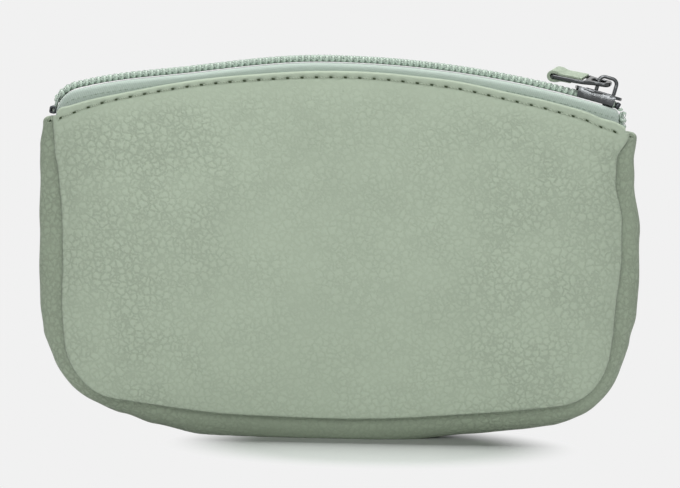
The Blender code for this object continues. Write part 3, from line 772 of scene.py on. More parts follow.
def cloth_material(name, colour, thread_size, roughness, depth, slant=0.0):
    """Woven cloth, drawn from a sheet's own UVs in metres; a slant makes the weave a twill."""
    material, tree, shader = new_material(name)
    uv = add_node(tree, "UVMap", uv_map="cloth")
    parts = add_node(tree, "SeparateXYZ", [(0, uv)])
    turns = 2 * math.pi / thread_size
    along = add_node(tree, "Math", [
        (0, parts.outputs[1]), (1, slant), (2, parts)], operation="MULTIPLY_ADD")
    waves = []
    for direction in (along, parts.outputs[1]):
        wave = add_node(tree, "Math", [(0, direction), (1, turns)],
                        operation="MULTIPLY")
        waves.append(add_node(tree, "Math", [(0, wave)], operation="SINE"))
    weave = add_node(tree, "Math", [(0, waves[0]), (1, waves[1])],
                     operation="MULTIPLY")
    weave = add_node(tree, "MapRange", [
        ("Value", weave), ("From Min", -1.0), ("From Max", 1.0)])
    fuzz = add_node(tree, "TexNoise", [
        ("Vector", uv), ("Scale", 1 / fuzz_size), ("Detail", 4.0), ("Roughness", 0.7)])
    height = add_node(tree, "Math", [(0, weave), (1, fuzz)])
    bump = add_node(tree, "Bump", [("Height", height), ("Distance", depth)])
    # Painted shade where weave and fuzz are low, painted light where they are high
    shade = add_node(tree, "MapRange", [
        ("Value", height), ("From Min", 0.45), ("From Max", 1.35)])
    tone = add_node(tree, "Mix", [
        (0, shade), (6, tinted(colour, 0.84)), (7, tinted(colour, 1.10))], data_type="RGBA")
    set_inputs(tree, shader, [
        ("Base Color", tone), ("Roughness", roughness), ("Normal", bump),
        ("Sheen Weight", 0.15), ("Specular IOR Level", 0.15)])
    return material


def lay_out(bm, table, runs, reaches):
    """Write the sheet's flat layout in metres to its UVs."""
    layer = bm.loops.layers.uv["cloth"]
    flat = {vert: (runs[i], reaches[j]) for (i, j), vert in table.items()}
    for face in bm.faces:
        for loop in face.loops:
            loop[layer].uv = flat.get(loop.vert, (0, 0))


# Plain woven cotton: matt, with fine threads that cross at right angles
plain_cotton = cloth_material("plain_woven_cotton", "8E9A8A", 0.5 * MM, 0.85, 0.05 * MM)

lining = 0.3 * MM
lining_inset = edge_radius + seam_allowance + 2 * layer_gap
lining_step = 1.6 * MM
lining_swell_reach = 10.1 * MM
lining_tuck_reach = 3.925 * MM
lining_top_drop = 3.5 * MM
turn_drop = edge_radius + hem_depth + 2 * layer_gap
lining_fold = 0.25 * MM
lining_fold_size = 12 * MM
gusset_lining_share = 0.55
gusset_lining_start = 0.12
gusset_lining_inset = 0.7 * MM
gusset_lining_row = 3 * MM


def panel_lining(side, name):
    """Cloth behind a panel, clear of the seam allowances and behind the zip tape."""
    side_shares = spaced(0, corner_share, lining_step / seam_length)
    sole_shares = spaced(corner_share, 1, lining_step / seam_length)
    seam = full_seam(side_shares + sole_shares + [1])
    rows = len(side_shares)
    columns = len(seam) - 1 - 2 * rows
    edge = [place.point(side, place.reach() - layer_gap, -lining_inset) for place in seam]
    foot = edge[rows:rows + columns + 1]
    top = []
    for point in foot:
        x = edge[-1].x * point.x / foot[-1].x
        top.append(Vector((x, side * lining_tuck_reach, fold_height(x) - turn_drop)))
    drop = (edge[-1].z - top[-1].z) / (edge[-1].z - foot[-1].z)
    left = []
    right = []
    for k in range(rows + 1):
        share = k / rows
        for line, at, corner in ((left, edge[rows - k], top[0]),
                                 (right, edge[rows + columns + k], top[-1])):
            point = at.copy()
            point.z = foot[0].z + (at.z - foot[0].z) * (1 - drop)
            point.y = mix(at.y, corner.y, ease(share * 2 - 1))
            line.append(point)
    left[-1] = top[0]
    right[-1] = top[-1]
    across = run_shares(foot)
    upward = run_shares(left)

    def place(i, j):
        u = across[i]
        v = upward[j]
        point = patch_point(foot, top, left, right, u, v, i, j)
        share = ease(1 - v) * ease(v * 3) * (1 - (2 * u - 1) ** 2)
        folds = lining_fold * noise.noise(point / lining_fold_size)
        folds *= ease(v * 6) * ease((1 - v) * 6)
        point.y = side * (mix(abs(point.y), lining_swell_reach, share) + folds)
        return point

    bm, table = sheet_grid(columns, rows, place)
    chain = [table[i, rows] for i in range(columns + 1)]
    rise = Vector((0, 0, turn_drop - lining_top_drop))
    upper = extrude_chain(bm, chain, [vert.co + rise for vert in chain])
    for i, vert in enumerate(upper):
        table[i, rows + 1] = vert
    height = (top[len(top) // 2] - foot[len(foot) // 2]).length
    width = 2 * foot[-1].x
    lay_out(bm, table, [width * u for u in across],
            [height * v for v in upward] + [height + rise.z])
    return thicken(object_from(bm, name, plain_cotton), lining, 0)


def gusset_cloth():
    """Cloth inside the gusset, between its seam allowances."""
    inside = leather + 2 * layer_gap
    shares = spaced(gusset_lining_start, 1, lining_step / seam_length) + [1]
    profiles = []
    for place in full_seam(shares):
        flange = place.reach() - layer_gap / 2 - inside - gusset_lining_inset
        out = Vector((place.out_x, 0, place.out_z))
        halves = {}
        for side in (FRONT, BACK):
            row = [place.point(side, flange, -edge_radius - seam_allowance),
                   place.point(side, flange, -edge_radius - layer_gap)]
            for share in (gusset_lining_share, gusset_lining_share / 2):
                row.append(gusset_point(place, side, share) - out * inside)
            halves[side] = row
        middle = gusset_point(place, FRONT, 0) - out * inside
        profiles.append(halves[FRONT] + [middle] + halves[BACK][::-1])
    columns = len(profiles) - 1
    rows = len(profiles[0]) - 1
    bm, table = sheet_grid(columns, rows, lambda i, j: profiles[i][j])
    lay_out(bm, table, [i * lining_step for i in range(columns + 1)],
            [j * gusset_lining_row for j in range(rows + 1)])
    return thicken(object_from(bm, "gusset_lining_cloth", plain_cotton), lining, 0)


front_linings = halved(panel_lining(FRONT, "front_lining_cloth"), "front_lining_cloth")
bow_front(front_linings, "front_lining")
back_lining = carry(panel_lining(BACK, "back_lining_cloth"), "pouch", "back_lining")
gusset_lining = carry(gusset_cloth(), "pouch", "gusset_lining")

# Zip tapes: two strips of woven polyester, flat under the teeth, then bent over and hanging
# down behind the folded edges of the panels, where the top stitching holds them. Both ends
# bend down into the gusset. Heights are measured from the middle of a tape's thickness.
tape = 0.45 * MM
tape_inner_reach = 1.1 * MM
tape_leg_radius = 0.65 * MM
tape_tuck = 6.0 * MM
tape_end_length = 6.5 * MM
tape_end_draw_share = 0.82
zip_radius = 205 * MM
zip_centre = crown_height + 1.2 * MM - zip_radius
crest_shift = 2.7 * MM
left_bend_radius = 5.0 * MM
right_bend_radius = 1.2 * MM
left_end_inset = 0.9 * MM
slider_end_inset = 1.6 * MM
right_end_inset = 2.9 * MM
zip_sag = 0.8 * MM
sag_start = -50 * MM
sag_deepest = -30 * MM
sag_end = -4 * MM
coil_reach = 2.1 * MM
coil_root_reach = 1.2 * MM
coil_low = tape / 2 + 0.2 * MM
coil_height = 1.3 * MM
coil_high = coil_low + coil_height
coil_pitch = 1.19 * MM

# The tapes and the teeth make room for the slider and the stops, whose main sizes are these
slider_length = 9.4 * MM
slider_plate = 0.65 * MM
slider_wall = 0.45 * MM
slider_post = 0.75 * MM
slider_gap = 0.15 * MM
coil_overlap = 0.35 * MM
coil_split = slider_post + slider_gap + coil_overlap
nose_reach = coil_reach + coil_split + slider_gap + slider_wall
tail_reach = coil_reach + slider_gap + slider_wall
tape_leg_reach = nose_reach + tape_leg_radius
slider_flare = slider_length * 0.15
end_stop_length = 1.5 * MM
top_stop_length = 0.9 * MM
stop_gap = 0.2 * MM


def end_bend(side, right_inset=right_end_inset):
    """Radius of the zip's bend at an end, and the slope of its arc where the bend starts."""
    if side == RIGHT:
        radius = right_bend_radius
        span = top_half - right_inset - tape / 2 + crest_shift
    else:
        radius = left_bend_radius
        span = top_half - left_end_inset - tape / 2 - crest_shift
    return radius, math.asin((span - radius) / (zip_radius - radius))


def bend_end(side):
    """Run from the crest at which an end bend has turned straight down."""
    radius, turn = end_bend(side)
    return side * (zip_radius * turn + radius * (math.pi / 2 - turn))


def zip_frame(run):
    """Middle of the tapes at a run from the crest, positive to the right, and the slope."""
    side = RIGHT if run >= 0 else LEFT
    radius, turn = end_bend(side)
    left_over = abs(run) - zip_radius * turn
    if left_over <= 0:
        angle = abs(run) / zip_radius
        x = zip_radius * math.sin(angle)
        z = zip_centre + zip_radius * math.cos(angle)
    else:
        angle = min(turn + left_over / radius, math.pi / 2)
        straight = max(left_over - radius * (math.pi / 2 - turn), 0)
        x = (zip_radius - radius) * math.sin(turn) + radius * math.sin(angle)
        z = zip_centre + (zip_radius - radius) * math.cos(turn) + radius * math.cos(angle)
        z -= straight
    x = side * x - crest_shift
    sag = zip_sag * ease((x - sag_start) / (sag_deepest - sag_start))
    sag *= ease((sag_end - x) / (sag_end - sag_deepest))
    return Vector((x, 0, z - sag)), side * angle


def zip_point(run, side, reach, height):
    """Point beside and above the middle of the tapes."""
    middle, angle = zip_frame(run)
    return middle + Vector((height * math.sin(angle), side * reach, height * math.cos(angle)))


slider_run = zip_radius * end_bend(RIGHT, slider_end_inset)[1] - slider_length / 2 - slider_gap
coil_left = bend_end(LEFT) + end_stop_length + stop_gap
coil_right = slider_run + slider_length / 2 - slider_wall - top_stop_length - stop_gap


def coil_spread(run):
    """How far the slider's post pushes a row of teeth away from the middle."""
    start = slider_run - slider_flare * 2 / 3
    end = slider_run + slider_flare * 4 / 3
    return coil_split * ease((run - start) / (end - start))


# Woven polyester, dyed pale mint: a fine slanting rib, matt and a little fuzzy
woven_polyester = cloth_material("woven_polyester", "B1BFB6", 0.42 * MM, 0.85, 0.035 * MM, 0.5)
tape_step = 0.5 * MM
tape_leg_steps = 10
tape_flat_rows = 6
tape_bend_rows = 4
tape_width = 12 * MM
tape_ripple = 0.06 * MM
tape_ripple_length = 5 * MM
draw_start = 48 * MM


def tape_draw(x):
    """Share to which the tape is narrowed at a distance from the middle of the pouch."""
    return mix(1, tape_end_draw_share, ease((x - draw_start) / (top_half - draw_start)))


def tape_profile(run, side):
    """Tape across its width: flat, over a small bend and hanging down to its lower edge."""
    middle, angle = zip_frame(run)
    x = abs(middle.x)
    draw = tape_draw(x)
    low = min(fold_height(min(x, top_half)) - tape_tuck, middle.z - 2 * tape_leg_radius)
    ripple = tape_ripple * noise.noise(Vector((run, side, 0)) / tape_ripple_length)
    outer = nose_reach * draw
    profile = [zip_point(run, side, mix(tape_inner_reach, outer, k / tape_flat_rows), 0)
               for k in range(tape_flat_rows + 1)]
    edge = profile[-1]
    for k in range(1, tape_bend_rows + 1):
        turn = math.pi / 2 * k / tape_bend_rows
        drop = Vector((0, side * tape_leg_radius * math.sin(turn) * draw,
                       -tape_leg_radius * (1 - math.cos(turn))))
        profile.append(edge + drop)
    start = profile[-1]
    for k in range(1, tape_leg_steps + 1):
        share = k / tape_leg_steps
        point = start.copy()
        point.z = mix(start.z, low, share)
        point.y += side * ripple * ease(share * 3)
        profile.append(point)
    return profile


def zip_tape(side, name):
    """Woven tape from one end of the zip to the other, its hanging part clipped off at the
    two ends that are turned down."""
    left = bend_end(LEFT)
    right = bend_end(RIGHT)
    runs = spaced(left - tape_end_length, left, tape_step)
    last_left = len(runs)
    runs += spaced(left, 0, tape_step) + spaced(0, right, tape_step / 2)
    last_right = len(runs)
    runs += spaced(right, right + tape_end_length, tape_step) + [right + tape_end_length]
    profiles = [tape_profile(run, side) for run in runs]
    rows = len(profiles[0]) - 1
    bm, table = sheet_grid(len(runs) - 1, rows, lambda i, j: profiles[i][j])
    widths = run_shares(profiles[len(runs) // 2])
    lay_out(bm, table, runs, [tape_width * share for share in widths])
    hanging = {table[i, j] for i in range(last_left, last_right + 1)
               for j in range(tape_flat_rows, rows + 1)}
    flat = {table[i, j] for i in range(len(runs)) for j in range(tape_flat_rows + 1)}
    gone = [face for face in bm.faces
            if not set(face.verts) <= hanging and not set(face.verts) <= flat]
    bmesh.ops.delete(bm, geom=gone, context="FACES")
    return thicken(object_from(bm, name, woven_polyester), tape, 0)


front_tapes = halved(zip_tape(FRONT, "front_tape"), "front_tape")
bow_front(front_tapes, "front_zip_tape")
back_tape = carry(zip_tape(BACK, "back_tape"), "pouch", "back_zip_tape")


# Teeth: two nylon filaments wound into flattened coils, whose heads mesh in the middle.
# Each is wound round a cord and sewn to its tape by a thread that runs over every turn.
coil_wire = 0.29 * MM
streak_size = 3 * MM
streak_depth = 0.03 * MM
nylon_glow_depth = 0.5 * MM


def curve_mesh(curve, merge):
    """Closed bmesh of a curve and its caps."""
    made = shown(curve)
    mesh = final_mesh(made)
    bpy.data.objects.remove(made)
    bm = bmesh.new()
    bm.from_mesh(mesh)
    bpy.data.meshes.remove(mesh)
    bmesh.ops.remove_doubles(bm, verts=bm.verts, dist=merge)
    bmesh.ops.recalc_face_normals(bm, faces=bm.faces)
    return bm


def tube(name, lines, radius, material, resolution=2):
    """Mesh of round tubes along lines of points."""
    curve = bpy.data.curves.new(name, "CURVE")
    curve.dimensions = "3D"
    curve.bevel_depth = radius
    curve.bevel_resolution = resolution
    curve.use_fill_caps = True
    for line in lines:
        spline = curve.splines.new("POLY")
        spline.points.add(len(line) - 1)
        for point, place in zip(spline.points, line):
            point.co = (*place, 1)
    return object_from(curve_mesh(curve, radius / 1000), name, material, 50)


# Nylon filament, dyed mint in the melt: smooth, slightly translucent, with paler streaks
nylon, nylon_tree, nylon_shader = new_material("wound_nylon_filament")
nylon_place = add_node(nylon_tree, "TexCoord").outputs["Object"]
nylon_streaks = add_node(nylon_tree, "TexNoise", [
    ("Vector", nylon_place), ("Scale", 1 / streak_size), ("Detail", 3.0)])
nylon_tone = add_node(nylon_tree, "Mix", [
    (0, nylon_streaks), (6, linear("A6B9A9")), (7, linear("C6D4C9"))], data_type="RGBA")
nylon_bump = add_node(nylon_tree, "Bump", [
    ("Height", nylon_streaks), ("Distance", streak_depth)])
set_inputs(nylon_tree, nylon_shader, [
    ("Base Color", nylon_tone), ("Roughness", 0.38), ("Normal", nylon_bump),
    ("Subsurface Weight", 0.05), ("Subsurface Radius", [nylon_glow_depth] * 3)])

sewing_radius = 0.09 * MM
sewing_reach = 1.3 * MM
core_radius = 0.26 * MM
core_reach = 1.25 * MM
head_reach = -coil_overlap + coil_wire
back_reach = coil_reach - coil_wire
coil_top = coil_high - coil_wire
coil_foot = coil_low + coil_wire
coil_middle = (coil_top + coil_foot) / 2

# One turn of the filament, as shares: from its back to its head, from its foot to its top,
# and ahead towards the next turn
coil_turn_shares = ((0.10, 1, 0), (0.45, 1, 0), (0.80, 0.975, 0), (0.95, 0.8, 0), (1, 0.5, 0),
                    (0.95, 0.2, 0.03), (0.80, 0.025, 0.15), (0.45, 0, 0.5), (0.10, 0, 0.9),
                    (0.01, 0.175, 1), (0, 0.5, 1), (0.01, 0.825, 1))

# Dips of the sewing thread between two turns, as shares: ahead, and down
sewing_dip_shares = ((0, 0), (0.3, 0.35), (0.5, 0.6), (0.7, 0.35))


def tooth_runs(side):
    """Run of each tooth of a row, from the left end to the right."""
    shift = coil_pitch / 2 if side == BACK else 0
    last = coil_right - shift
    count = int((last - coil_left - coil_wire) / coil_pitch)
    return [last - (count - k) * coil_pitch for k in range(count + 1)]


def coil_line(side, runs):
    """Line of the filament through a row of teeth."""
    line = []
    for run in runs:
        for inward, rise, ahead in coil_turn_shares:
            at = run + ahead * coil_pitch
            reach = mix(back_reach, head_reach, inward) + coil_spread(at)
            line.append(zip_point(at, side, reach, mix(coil_foot, coil_top, rise)))
    return line


def sewing_line(side, runs):
    """Line of the thread that holds a row of teeth, dipping between the turns."""
    line = []
    for run in runs:
        for ahead, dip in sewing_dip_shares:
            at = run + ahead * coil_pitch
            height = coil_high + sewing_radius / 2 - dip * coil_wire * 2
            line.append(zip_point(at, side, sewing_reach + coil_spread(at), height))
    return line


def core_line(side, runs):
    """Line of the cord that runs inside the turns."""
    return [zip_point(run, side, core_reach + coil_spread(run), coil_middle) for run in runs]


# Spun polyester thread: two fine plies twisted together, matt, with painted shade
# between the plies
twist_length = 0.9 * MM
twist_depth = 0.05 * MM


def thread_material(name, colour):
    """Twisted thread of one colour."""
    material, tree, shader = new_material(name)
    place = add_node(tree, "TexCoord").outputs["Object"]
    twist = add_node(tree, "TexWave", [
        ("Vector", place), ("Scale", 1 / twist_length), ("Distortion", 2.0), ("Detail", 2.0)],
        bands_direction="DIAGONAL").outputs["Fac"]
    # Painted shade between the plies of the twist
    tone = add_node(tree, "Mix", [
        (0, twist), (6, tinted(colour, 0.6)), (7, linear(colour))], data_type="RGBA")
    bump = add_node(tree, "Bump", [("Height", twist), ("Distance", twist_depth)])
    set_inputs(tree, shader, [("Base Color", tone), ("Roughness", 0.7), ("Normal", bump)])
    return material


mint_thread = thread_material("spun_polyester_mint", "BCCCC0")

open_start = slider_run + slider_length / 2 + 0.1 * MM
open_count = 4
stop_core_run = bend_end(LEFT) + 0.1 * MM


def tooth_row(side, runs, turns_name, sewing_name, core_name, core_start=()):
    """A row of teeth: its filament, and its sewing thread with the cord."""
    turns = tube(turns_name, [coil_line(side, runs)], coil_wire, nylon)
    sewing = tube(sewing_name, [sewing_line(side, runs)], sewing_radius, mint_thread, 1)
    core = tube(core_name, [core_line(side, [*core_start, *runs])], core_radius, mint_thread, 2)
    return turns, [sewing, core]


for side, word, shift in ((FRONT, "front", 0), (BACK, "back", coil_pitch / 2)):
    open_runs = [open_start + shift + k * coil_pitch for k in range(open_count)]
    turns, threads = tooth_row(side, open_runs, word + "_open_teeth",
                               word + "_open_teeth_thread", word + "_open_teeth_core")
    carry(turns, "pouch")
    for thread in threads:
        carry(thread, "pouch")

turns, threads = tooth_row(BACK, tooth_runs(BACK), "back_coil_turns", "back_coil_thread",
                           "back_coil_core", [stop_core_run])
carry(turns, "pouch", "back_coil")
for thread in threads:
    carry(thread, "pouch")
front_runs = tooth_runs(FRONT)
for word, runs, core_start in (
        ("left", [run for run in front_runs if run < crest_shift], [stop_core_run]),
        ("right", [run for run in front_runs if run >= crest_shift], [])):
    turns, threads = tooth_row(FRONT, runs, "front_coil_turns_" + word,
                               "front_coil_thread_" + word, "front_coil_core_" + word,
                               core_start)
    bow_front([turns], "front_coil")
    bow_front(threads)

# Tape stitching: a line of fine polyester lock stitches along the hanging part of each
# tape, a little darker than the tape, from one end of the zip to the other.
tape_stitch_pitch = 1.2 * MM
tape_stitch_length = 0.7 * MM
tape_stitch_drop = 1.55 * MM
tape_stitch_radius = 0.10 * MM
grey_mint_thread = thread_material("spun_polyester_grey_mint", "A2B4A6")


def tape_stitches(side, start, end):
    """Short stitches along the hanging part of a tape, where it shows above the leather."""
    lines = []
    for first in spaced(start, end, tape_stitch_pitch):
        line = []
        for k in range(4):
            middle, angle = zip_frame(first + k / 3 * tape_stitch_length)
            reach = tape_leg_reach * tape_draw(abs(middle.x)) + tape / 2
            rise = tape_stitch_radius * (0.2 - abs(k - 1.5) / 1.5)
            line.append(Vector((middle.x, side * (reach + rise), middle.z - tape_stitch_drop)))
        if line[0].z > fold_height(line[0].x) + 0.1 * MM:
            lines.append(line)
    return lines


tape_stitch_left = bend_end(LEFT) + 2 * MM
tape_stitch_right = bend_end(RIGHT) - 1 * MM
for word, start, end in (("left", tape_stitch_left, crest_shift),
                         ("right", crest_shift, tape_stitch_right)):
    stitches = tube("front_tape_stitches_" + word, tape_stitches(FRONT, start, end),
                    tape_stitch_radius, grey_mint_thread, 1)
    bow_front([stitches])
carry(tube("back_tape_stitches", tape_stitches(BACK, tape_stitch_left, tape_stitch_right),
           tape_stitch_radius, grey_mint_thread, 1), "pouch")


# Top stitching: lock stitches of polyester thread, in the leather's colour, that hold each
# panel's folded edge on its tape. Each stitch dives into a needle hole at both ends.
sage_thread = thread_material("spun_polyester_sage", "A0AD99")
thread_radius = 0.13 * MM
stitch_sink = 0.22 * MM
stitch_share = 0.74


def panel_reach_at(x, drop):
    """Reach of a panel's surface just below its folded edge."""
    share = x / (top_half - edge_radius)
    reach = mix(hem_outer_reach, seam_reach_top + rim_reach, share * share)
    width = 1 - abs(share) ** panel_swell_power
    v = 1 - (drop - edge_radius) / (crown_height - foot_lift - 2 * edge_radius)
    return reach + panel_swell * width * belly(v)


def sewn_line(side, run, length, steps, slant, rise):
    """Line along the stitches at a run; rise(t) is its height above the leather."""
    line = []
    for k in range(steps + 1):
        t = k / steps - 0.5
        x = crown_radius * math.sin((run + t * length) / crown_radius)
        drop = stitch_drop(x) + t * slant
        reach = panel_reach_at(x, drop) + rise(t)
        line.append(Vector((x, side * reach, fold_height(x) - drop)))
    return line


def stitch_lines(side, numbers):
    """Short lines on a panel, one for each numbered stitch."""
    def rise(t):
        return thread_radius * 0.45 - groove_depth - stitch_sink * abs(2 * t) ** 4

    return [sewn_line(side, first_stitch_run + (number + 0.5) * stitch_pitch,
                      stitch_share * stitch_pitch, 6, 0, rise) for number in numbers]


hole_length = 0.75 * MM
hole_radius = 0.17 * MM
hole_slant = 0.15 * MM
hole_dip = 0.25 * MM

# Painted shade in the needle holes: dark pieces at each hole, without gloss
needle_hole_shade, needle_hole_shade_tree, needle_hole_shade_shader = new_material("painted_needle_hole_shade")
set_inputs(needle_hole_shade_tree, needle_hole_shade_shader, [
    ("Base Color", linear("39452F")), ("Roughness", 0.9), ("Specular IOR Level", 0.1)])


def hole_lines(side, numbers):
    """Lines of the dark pieces that paint shade into the slanting needle holes that the
    stitches dive into, one per number.
    """
    def rise(t):
        return -hole_radius * 0.72 - groove_depth - hole_dip * abs(2 * t) ** 3

    return [sewn_line(side, first_stitch_run + number * stitch_pitch, hole_length, 4,
                      hole_slant, rise) for number in numbers]


middle_number = stitch_count // 2
# Dark pieces in the needle holes, as painted shade
for word, numbers in (("left", range(middle_number)),
                      ("right", range(middle_number, stitch_count + 1))):
    bow_front([tube("front_needle_holes_" + word, hole_lines(FRONT, numbers), hole_radius,
                    needle_hole_shade)])
carry(tube("back_needle_holes", hole_lines(BACK, range(stitch_count + 1)), hole_radius,
           needle_hole_shade), "pouch")
for word, numbers in (("left", range(middle_number)),
                      ("right", range(middle_number, stitch_count))):
    bow_front([tube("front_stitches_" + word, stitch_lines(FRONT, numbers), thread_radius,
                    sage_thread)], "front_top_stitching")
carry(tube("back_stitches", stitch_lines(BACK, range(stitch_count)), thread_radius,
           sage_thread), "pouch", "back_top_stitching")

# Seam thread: the same polyester thread runs to and fro through the turned edges of panel
# and gusset, inside the seam and out of sight.
seam_pitch = 3 * MM
seam_thread_inset = edge_radius + 1.4 * MM
seam_thread_radius = 0.2 * MM


def seam_stitches(side, left, right):
    """Lines of a seam's thread on its left or right half, or both."""
    count = round(seam_length / seam_pitch)
    shares = [k / count for k in range(1, count + 1)]
    places = []
    if left:
        places += [seam_place(share, True) for share in shares]
    if right:
        places += [seam_place(share, False) for share in reversed(shares)]
    line = []
    across = leather + layer_gap / 2 + seam_thread_radius
    for place in places:
        for way in (1, -1):
            line.append(place.point(side, place.reach() + way * across, -seam_thread_inset))
        across = -across
    return [line]


for word, left, right in (("left", True, False), ("right", False, True)):
    stitches = tube("front_seam_stitches_" + word, seam_stitches(FRONT, left, right),
                    seam_thread_radius, sage_thread, 1)
    bow_front([stitches], "front_seam_thread")
carry(tube("back_seam_stitches", seam_stitches(BACK, True, True), seam_thread_radius,
           sage_thread, 1), "pouch", "back_seam_thread")


# Slider: a die-cast zinc body of two plates joined by a post, with side walls round the
# teeth, and an arched crown clinched on top. Its own frame has x along the zip, z away from
# the tape and the origin at its middle.
plate_gap = 0.25 * MM
plate_low = coil_high + plate_gap
plate_high = plate_low + slider_plate
under_high = -tape / 2 - plate_gap
plate_edge = 0.16 * MM
wall_edge = 0.18 * MM
post_edge = 0.05 * MM
post_sink = 0.1 * MM
crown_pad_rise = 0.12 * MM
crown_pad_shift = 0.3 * MM
wear_size = 1.4 * MM
wear_depth = 0.05 * MM
crown_offset = 1.2 * MM
crown_span = 3.6 * MM
crown_rise = 3.1 * MM
crown_strap = 0.7 * MM
crown_width = 1.2 * MM
crown_corner = 1.1 * MM
pull_axis_height = 1.9 * MM
slider_turn = slider_run / zip_radius
slider_seat = (Matrix.Translation((-crest_shift, 0, zip_centre))
               @ Matrix.Rotation(slider_turn, 4, "Y")
               @ Matrix.Translation((0, 0, zip_radius)))


def plated_metal(name, colour, roughness, wear):
    """Plated metal, duller and darker where it is worn."""
    material, tree, shader = new_material(name)
    place = add_node(tree, "TexCoord").outputs["Object"]
    marks = add_node(tree, "TexNoise", [
        ("Vector", place), ("Scale", 1 / wear_size), ("Detail", 6.0), ("Roughness", 0.7)])
    rough = add_node(tree, "MapRange", [
        ("Value", marks), ("From Min", 0.35), ("From Max", 0.75),
        ("To Min", roughness), ("To Max", roughness + wear)], interpolation_type="SMOOTHSTEP")
    tone = add_node(tree, "Mix", [
        (0, marks), (6, linear(colour)), (7, tinted(colour, 0.8))], data_type="RGBA")
    bump = add_node(tree, "Bump", [
        ("Height", marks), ("Distance", wear_depth), ("Strength", 0.6)])
    set_inputs(tree, shader, [
        ("Base Color", tone), ("Roughness", rough), ("Normal", bump), ("Metallic", 1.0)])
    return material


# Die-cast zinc, plated black nickel: dark grey mirror with bright edges and faint wear
black_nickel = plated_metal("black_nickel_plated_zinc", "505253", 0.16, 0.16)


def flat_mesh(outlines, low, high, edge, resolution=3):
    """bmesh of a flat outline between two heights with rounded edges; later outlines are
    holes."""
    curve = bpy.data.curves.new("outline", "CURVE")
    curve.dimensions = "2D"
    curve.fill_mode = "BOTH"
    curve.extrude = (high - low) / 2 - edge
    curve.bevel_depth = edge
    curve.bevel_resolution = resolution
    curve.offset = -edge
    for outline in outlines:
        spline = curve.splines.new("POLY")
        spline.points.add(len(outline) - 1)
        for point, (x, y) in zip(spline.points, outline):
            point.co = (x, y, 0, 1)
        spline.use_cyclic_u = True
    bm = curve_mesh(curve, 0.001 * MM)
    bmesh.ops.translate(bm, verts=bm.verts, vec=(0, 0, (low + high) / 2))
    return bm


def joined(parts):
    """One bmesh from several."""
    whole = bmesh.new()
    for part in parts:
        mesh = bpy.data.meshes.new("part")
        part.to_mesh(mesh)
        part.free()
        whole.from_mesh(mesh)
        bpy.data.meshes.remove(mesh)
    return whole


def smooth_outline(corners, passes=3):
    """Outline whose corners are cut again and again until it is round."""
    points = [Vector(corner) for corner in corners]
    for _ in range(passes):
        cut = []
        for k, point in enumerate(points):
            after = points[(k + 1) % len(points)]
            cut += [mix(point, after, 0.22), mix(point, after, 0.78)]
        points = cut
    return [(point.x, point.y) for point in points]


def plate_outline(inset):
    """Slider plate seen from above, tail on the left and rounded nose on the right."""
    half = slider_length / 2
    tail = tail_reach - inset
    nose = nose_reach - inset
    upper = [(-half, tail - 2 * slider_wall), (-half + slider_wall, tail), (-slider_flare, tail),
             (slider_flare, nose)]
    for turn in (0, 20, 40, 60, 80):
        angle = math.radians(turn)
        length = half - slider_flare
        upper.append((slider_flare + length * (1 / 2) * (1 + math.sin(angle)),
                      nose * (1 / 3) * (1 + 2 * math.cos(angle))))
    return upper + [(x, -y) for x, y in reversed(upper)]


def slider_shell():
    """Plates, side walls and post of the slider."""
    half = slider_length / 2
    under = [(x * 0.8 if x > 0 else x, y)
             for x, y in smooth_outline(plate_outline(slider_wall), 2)]
    parts = [flat_mesh([smooth_outline(plate_outline(0), 2)], plate_low, plate_high, plate_edge),
             flat_mesh([under], under_high - slider_plate, under_high, plate_edge)]
    crown_pad = [(x * 0.62 + crown_pad_shift, y / 2)
                 for x, y in smooth_outline(plate_outline(0), 2)]
    parts.append(flat_mesh([crown_pad], plate_low, plate_high + crown_pad_rise, crown_pad_rise))
    for side in (FRONT, BACK):
        outer = [(-half + slider_wall, tail_reach), (-slider_flare, tail_reach),
                 (slider_flare, nose_reach), (half * 2 / 3, nose_reach)]
        inner = [(x, y - slider_wall) for x, y in reversed(outer)]
        wall = [(x, side * y) for x, y in outer + inner]
        parts.append(flat_mesh([wall], tape / 2 + plate_gap, plate_high - plate_edge, wall_edge))
    post = [(slider_flare, 0), (2 * slider_flare, slider_post), (half * 0.75, slider_post / 2)]
    post += [(x, -y) for x, y in reversed(post[1:])]
    parts.append(flat_mesh([post], under_high - post_sink, plate_low + post_sink, post_edge))
    bm = joined(parts)
    bmesh.ops.transform(bm, matrix=slider_seat, verts=bm.verts)
    return object_from(bm, "slider_shell", black_nickel, 35)


def round_edges(obj, width, segments, angle):
    """Round the edges of a piece that turn by more than an angle in degrees."""
    rounding = obj.modifiers.new("edges", "BEVEL")
    rounding.width = width
    rounding.segments = segments
    rounding.limit_method = "ANGLE"
    rounding.angle_limit = math.radians(angle)
    return settle(obj)


def arch_strap():
    """Arched crown that carries the pull."""
    half = crown_span / 2
    base = plate_high + 0.05 * MM
    path = [(-half, 0), (-half, crown_rise - crown_corner)]
    for k in range(1, 9):
        turn = math.pi / 2 * k / 8
        path.append((-half + crown_corner * (1 - math.cos(turn)),
                     crown_rise - crown_corner * (1 - math.sin(turn))))
    path += [(-x, z) for x, z in reversed(path)]

    def place(i, j):
        x, z = path[i]
        flare = 1 + 0.25 * ease(1 - z / crown_rise * 1.6)
        return Vector((x + crown_offset, mix(-crown_width, crown_width, j) / 2 * flare, z + base))

    bm, table = sheet_grid(len(path) - 1, 1, place)
    bmesh.ops.transform(bm, matrix=slider_seat, verts=bm.verts)
    strap = thicken(object_from(bm, "slider_arch", black_nickel), crown_strap, 0)
    return round_edges(strap, 0.18 * MM, 3, 30)


carry(slider_shell(), "slider", "slider_body")
carry(arch_strap(), "slider", "slider_crown")

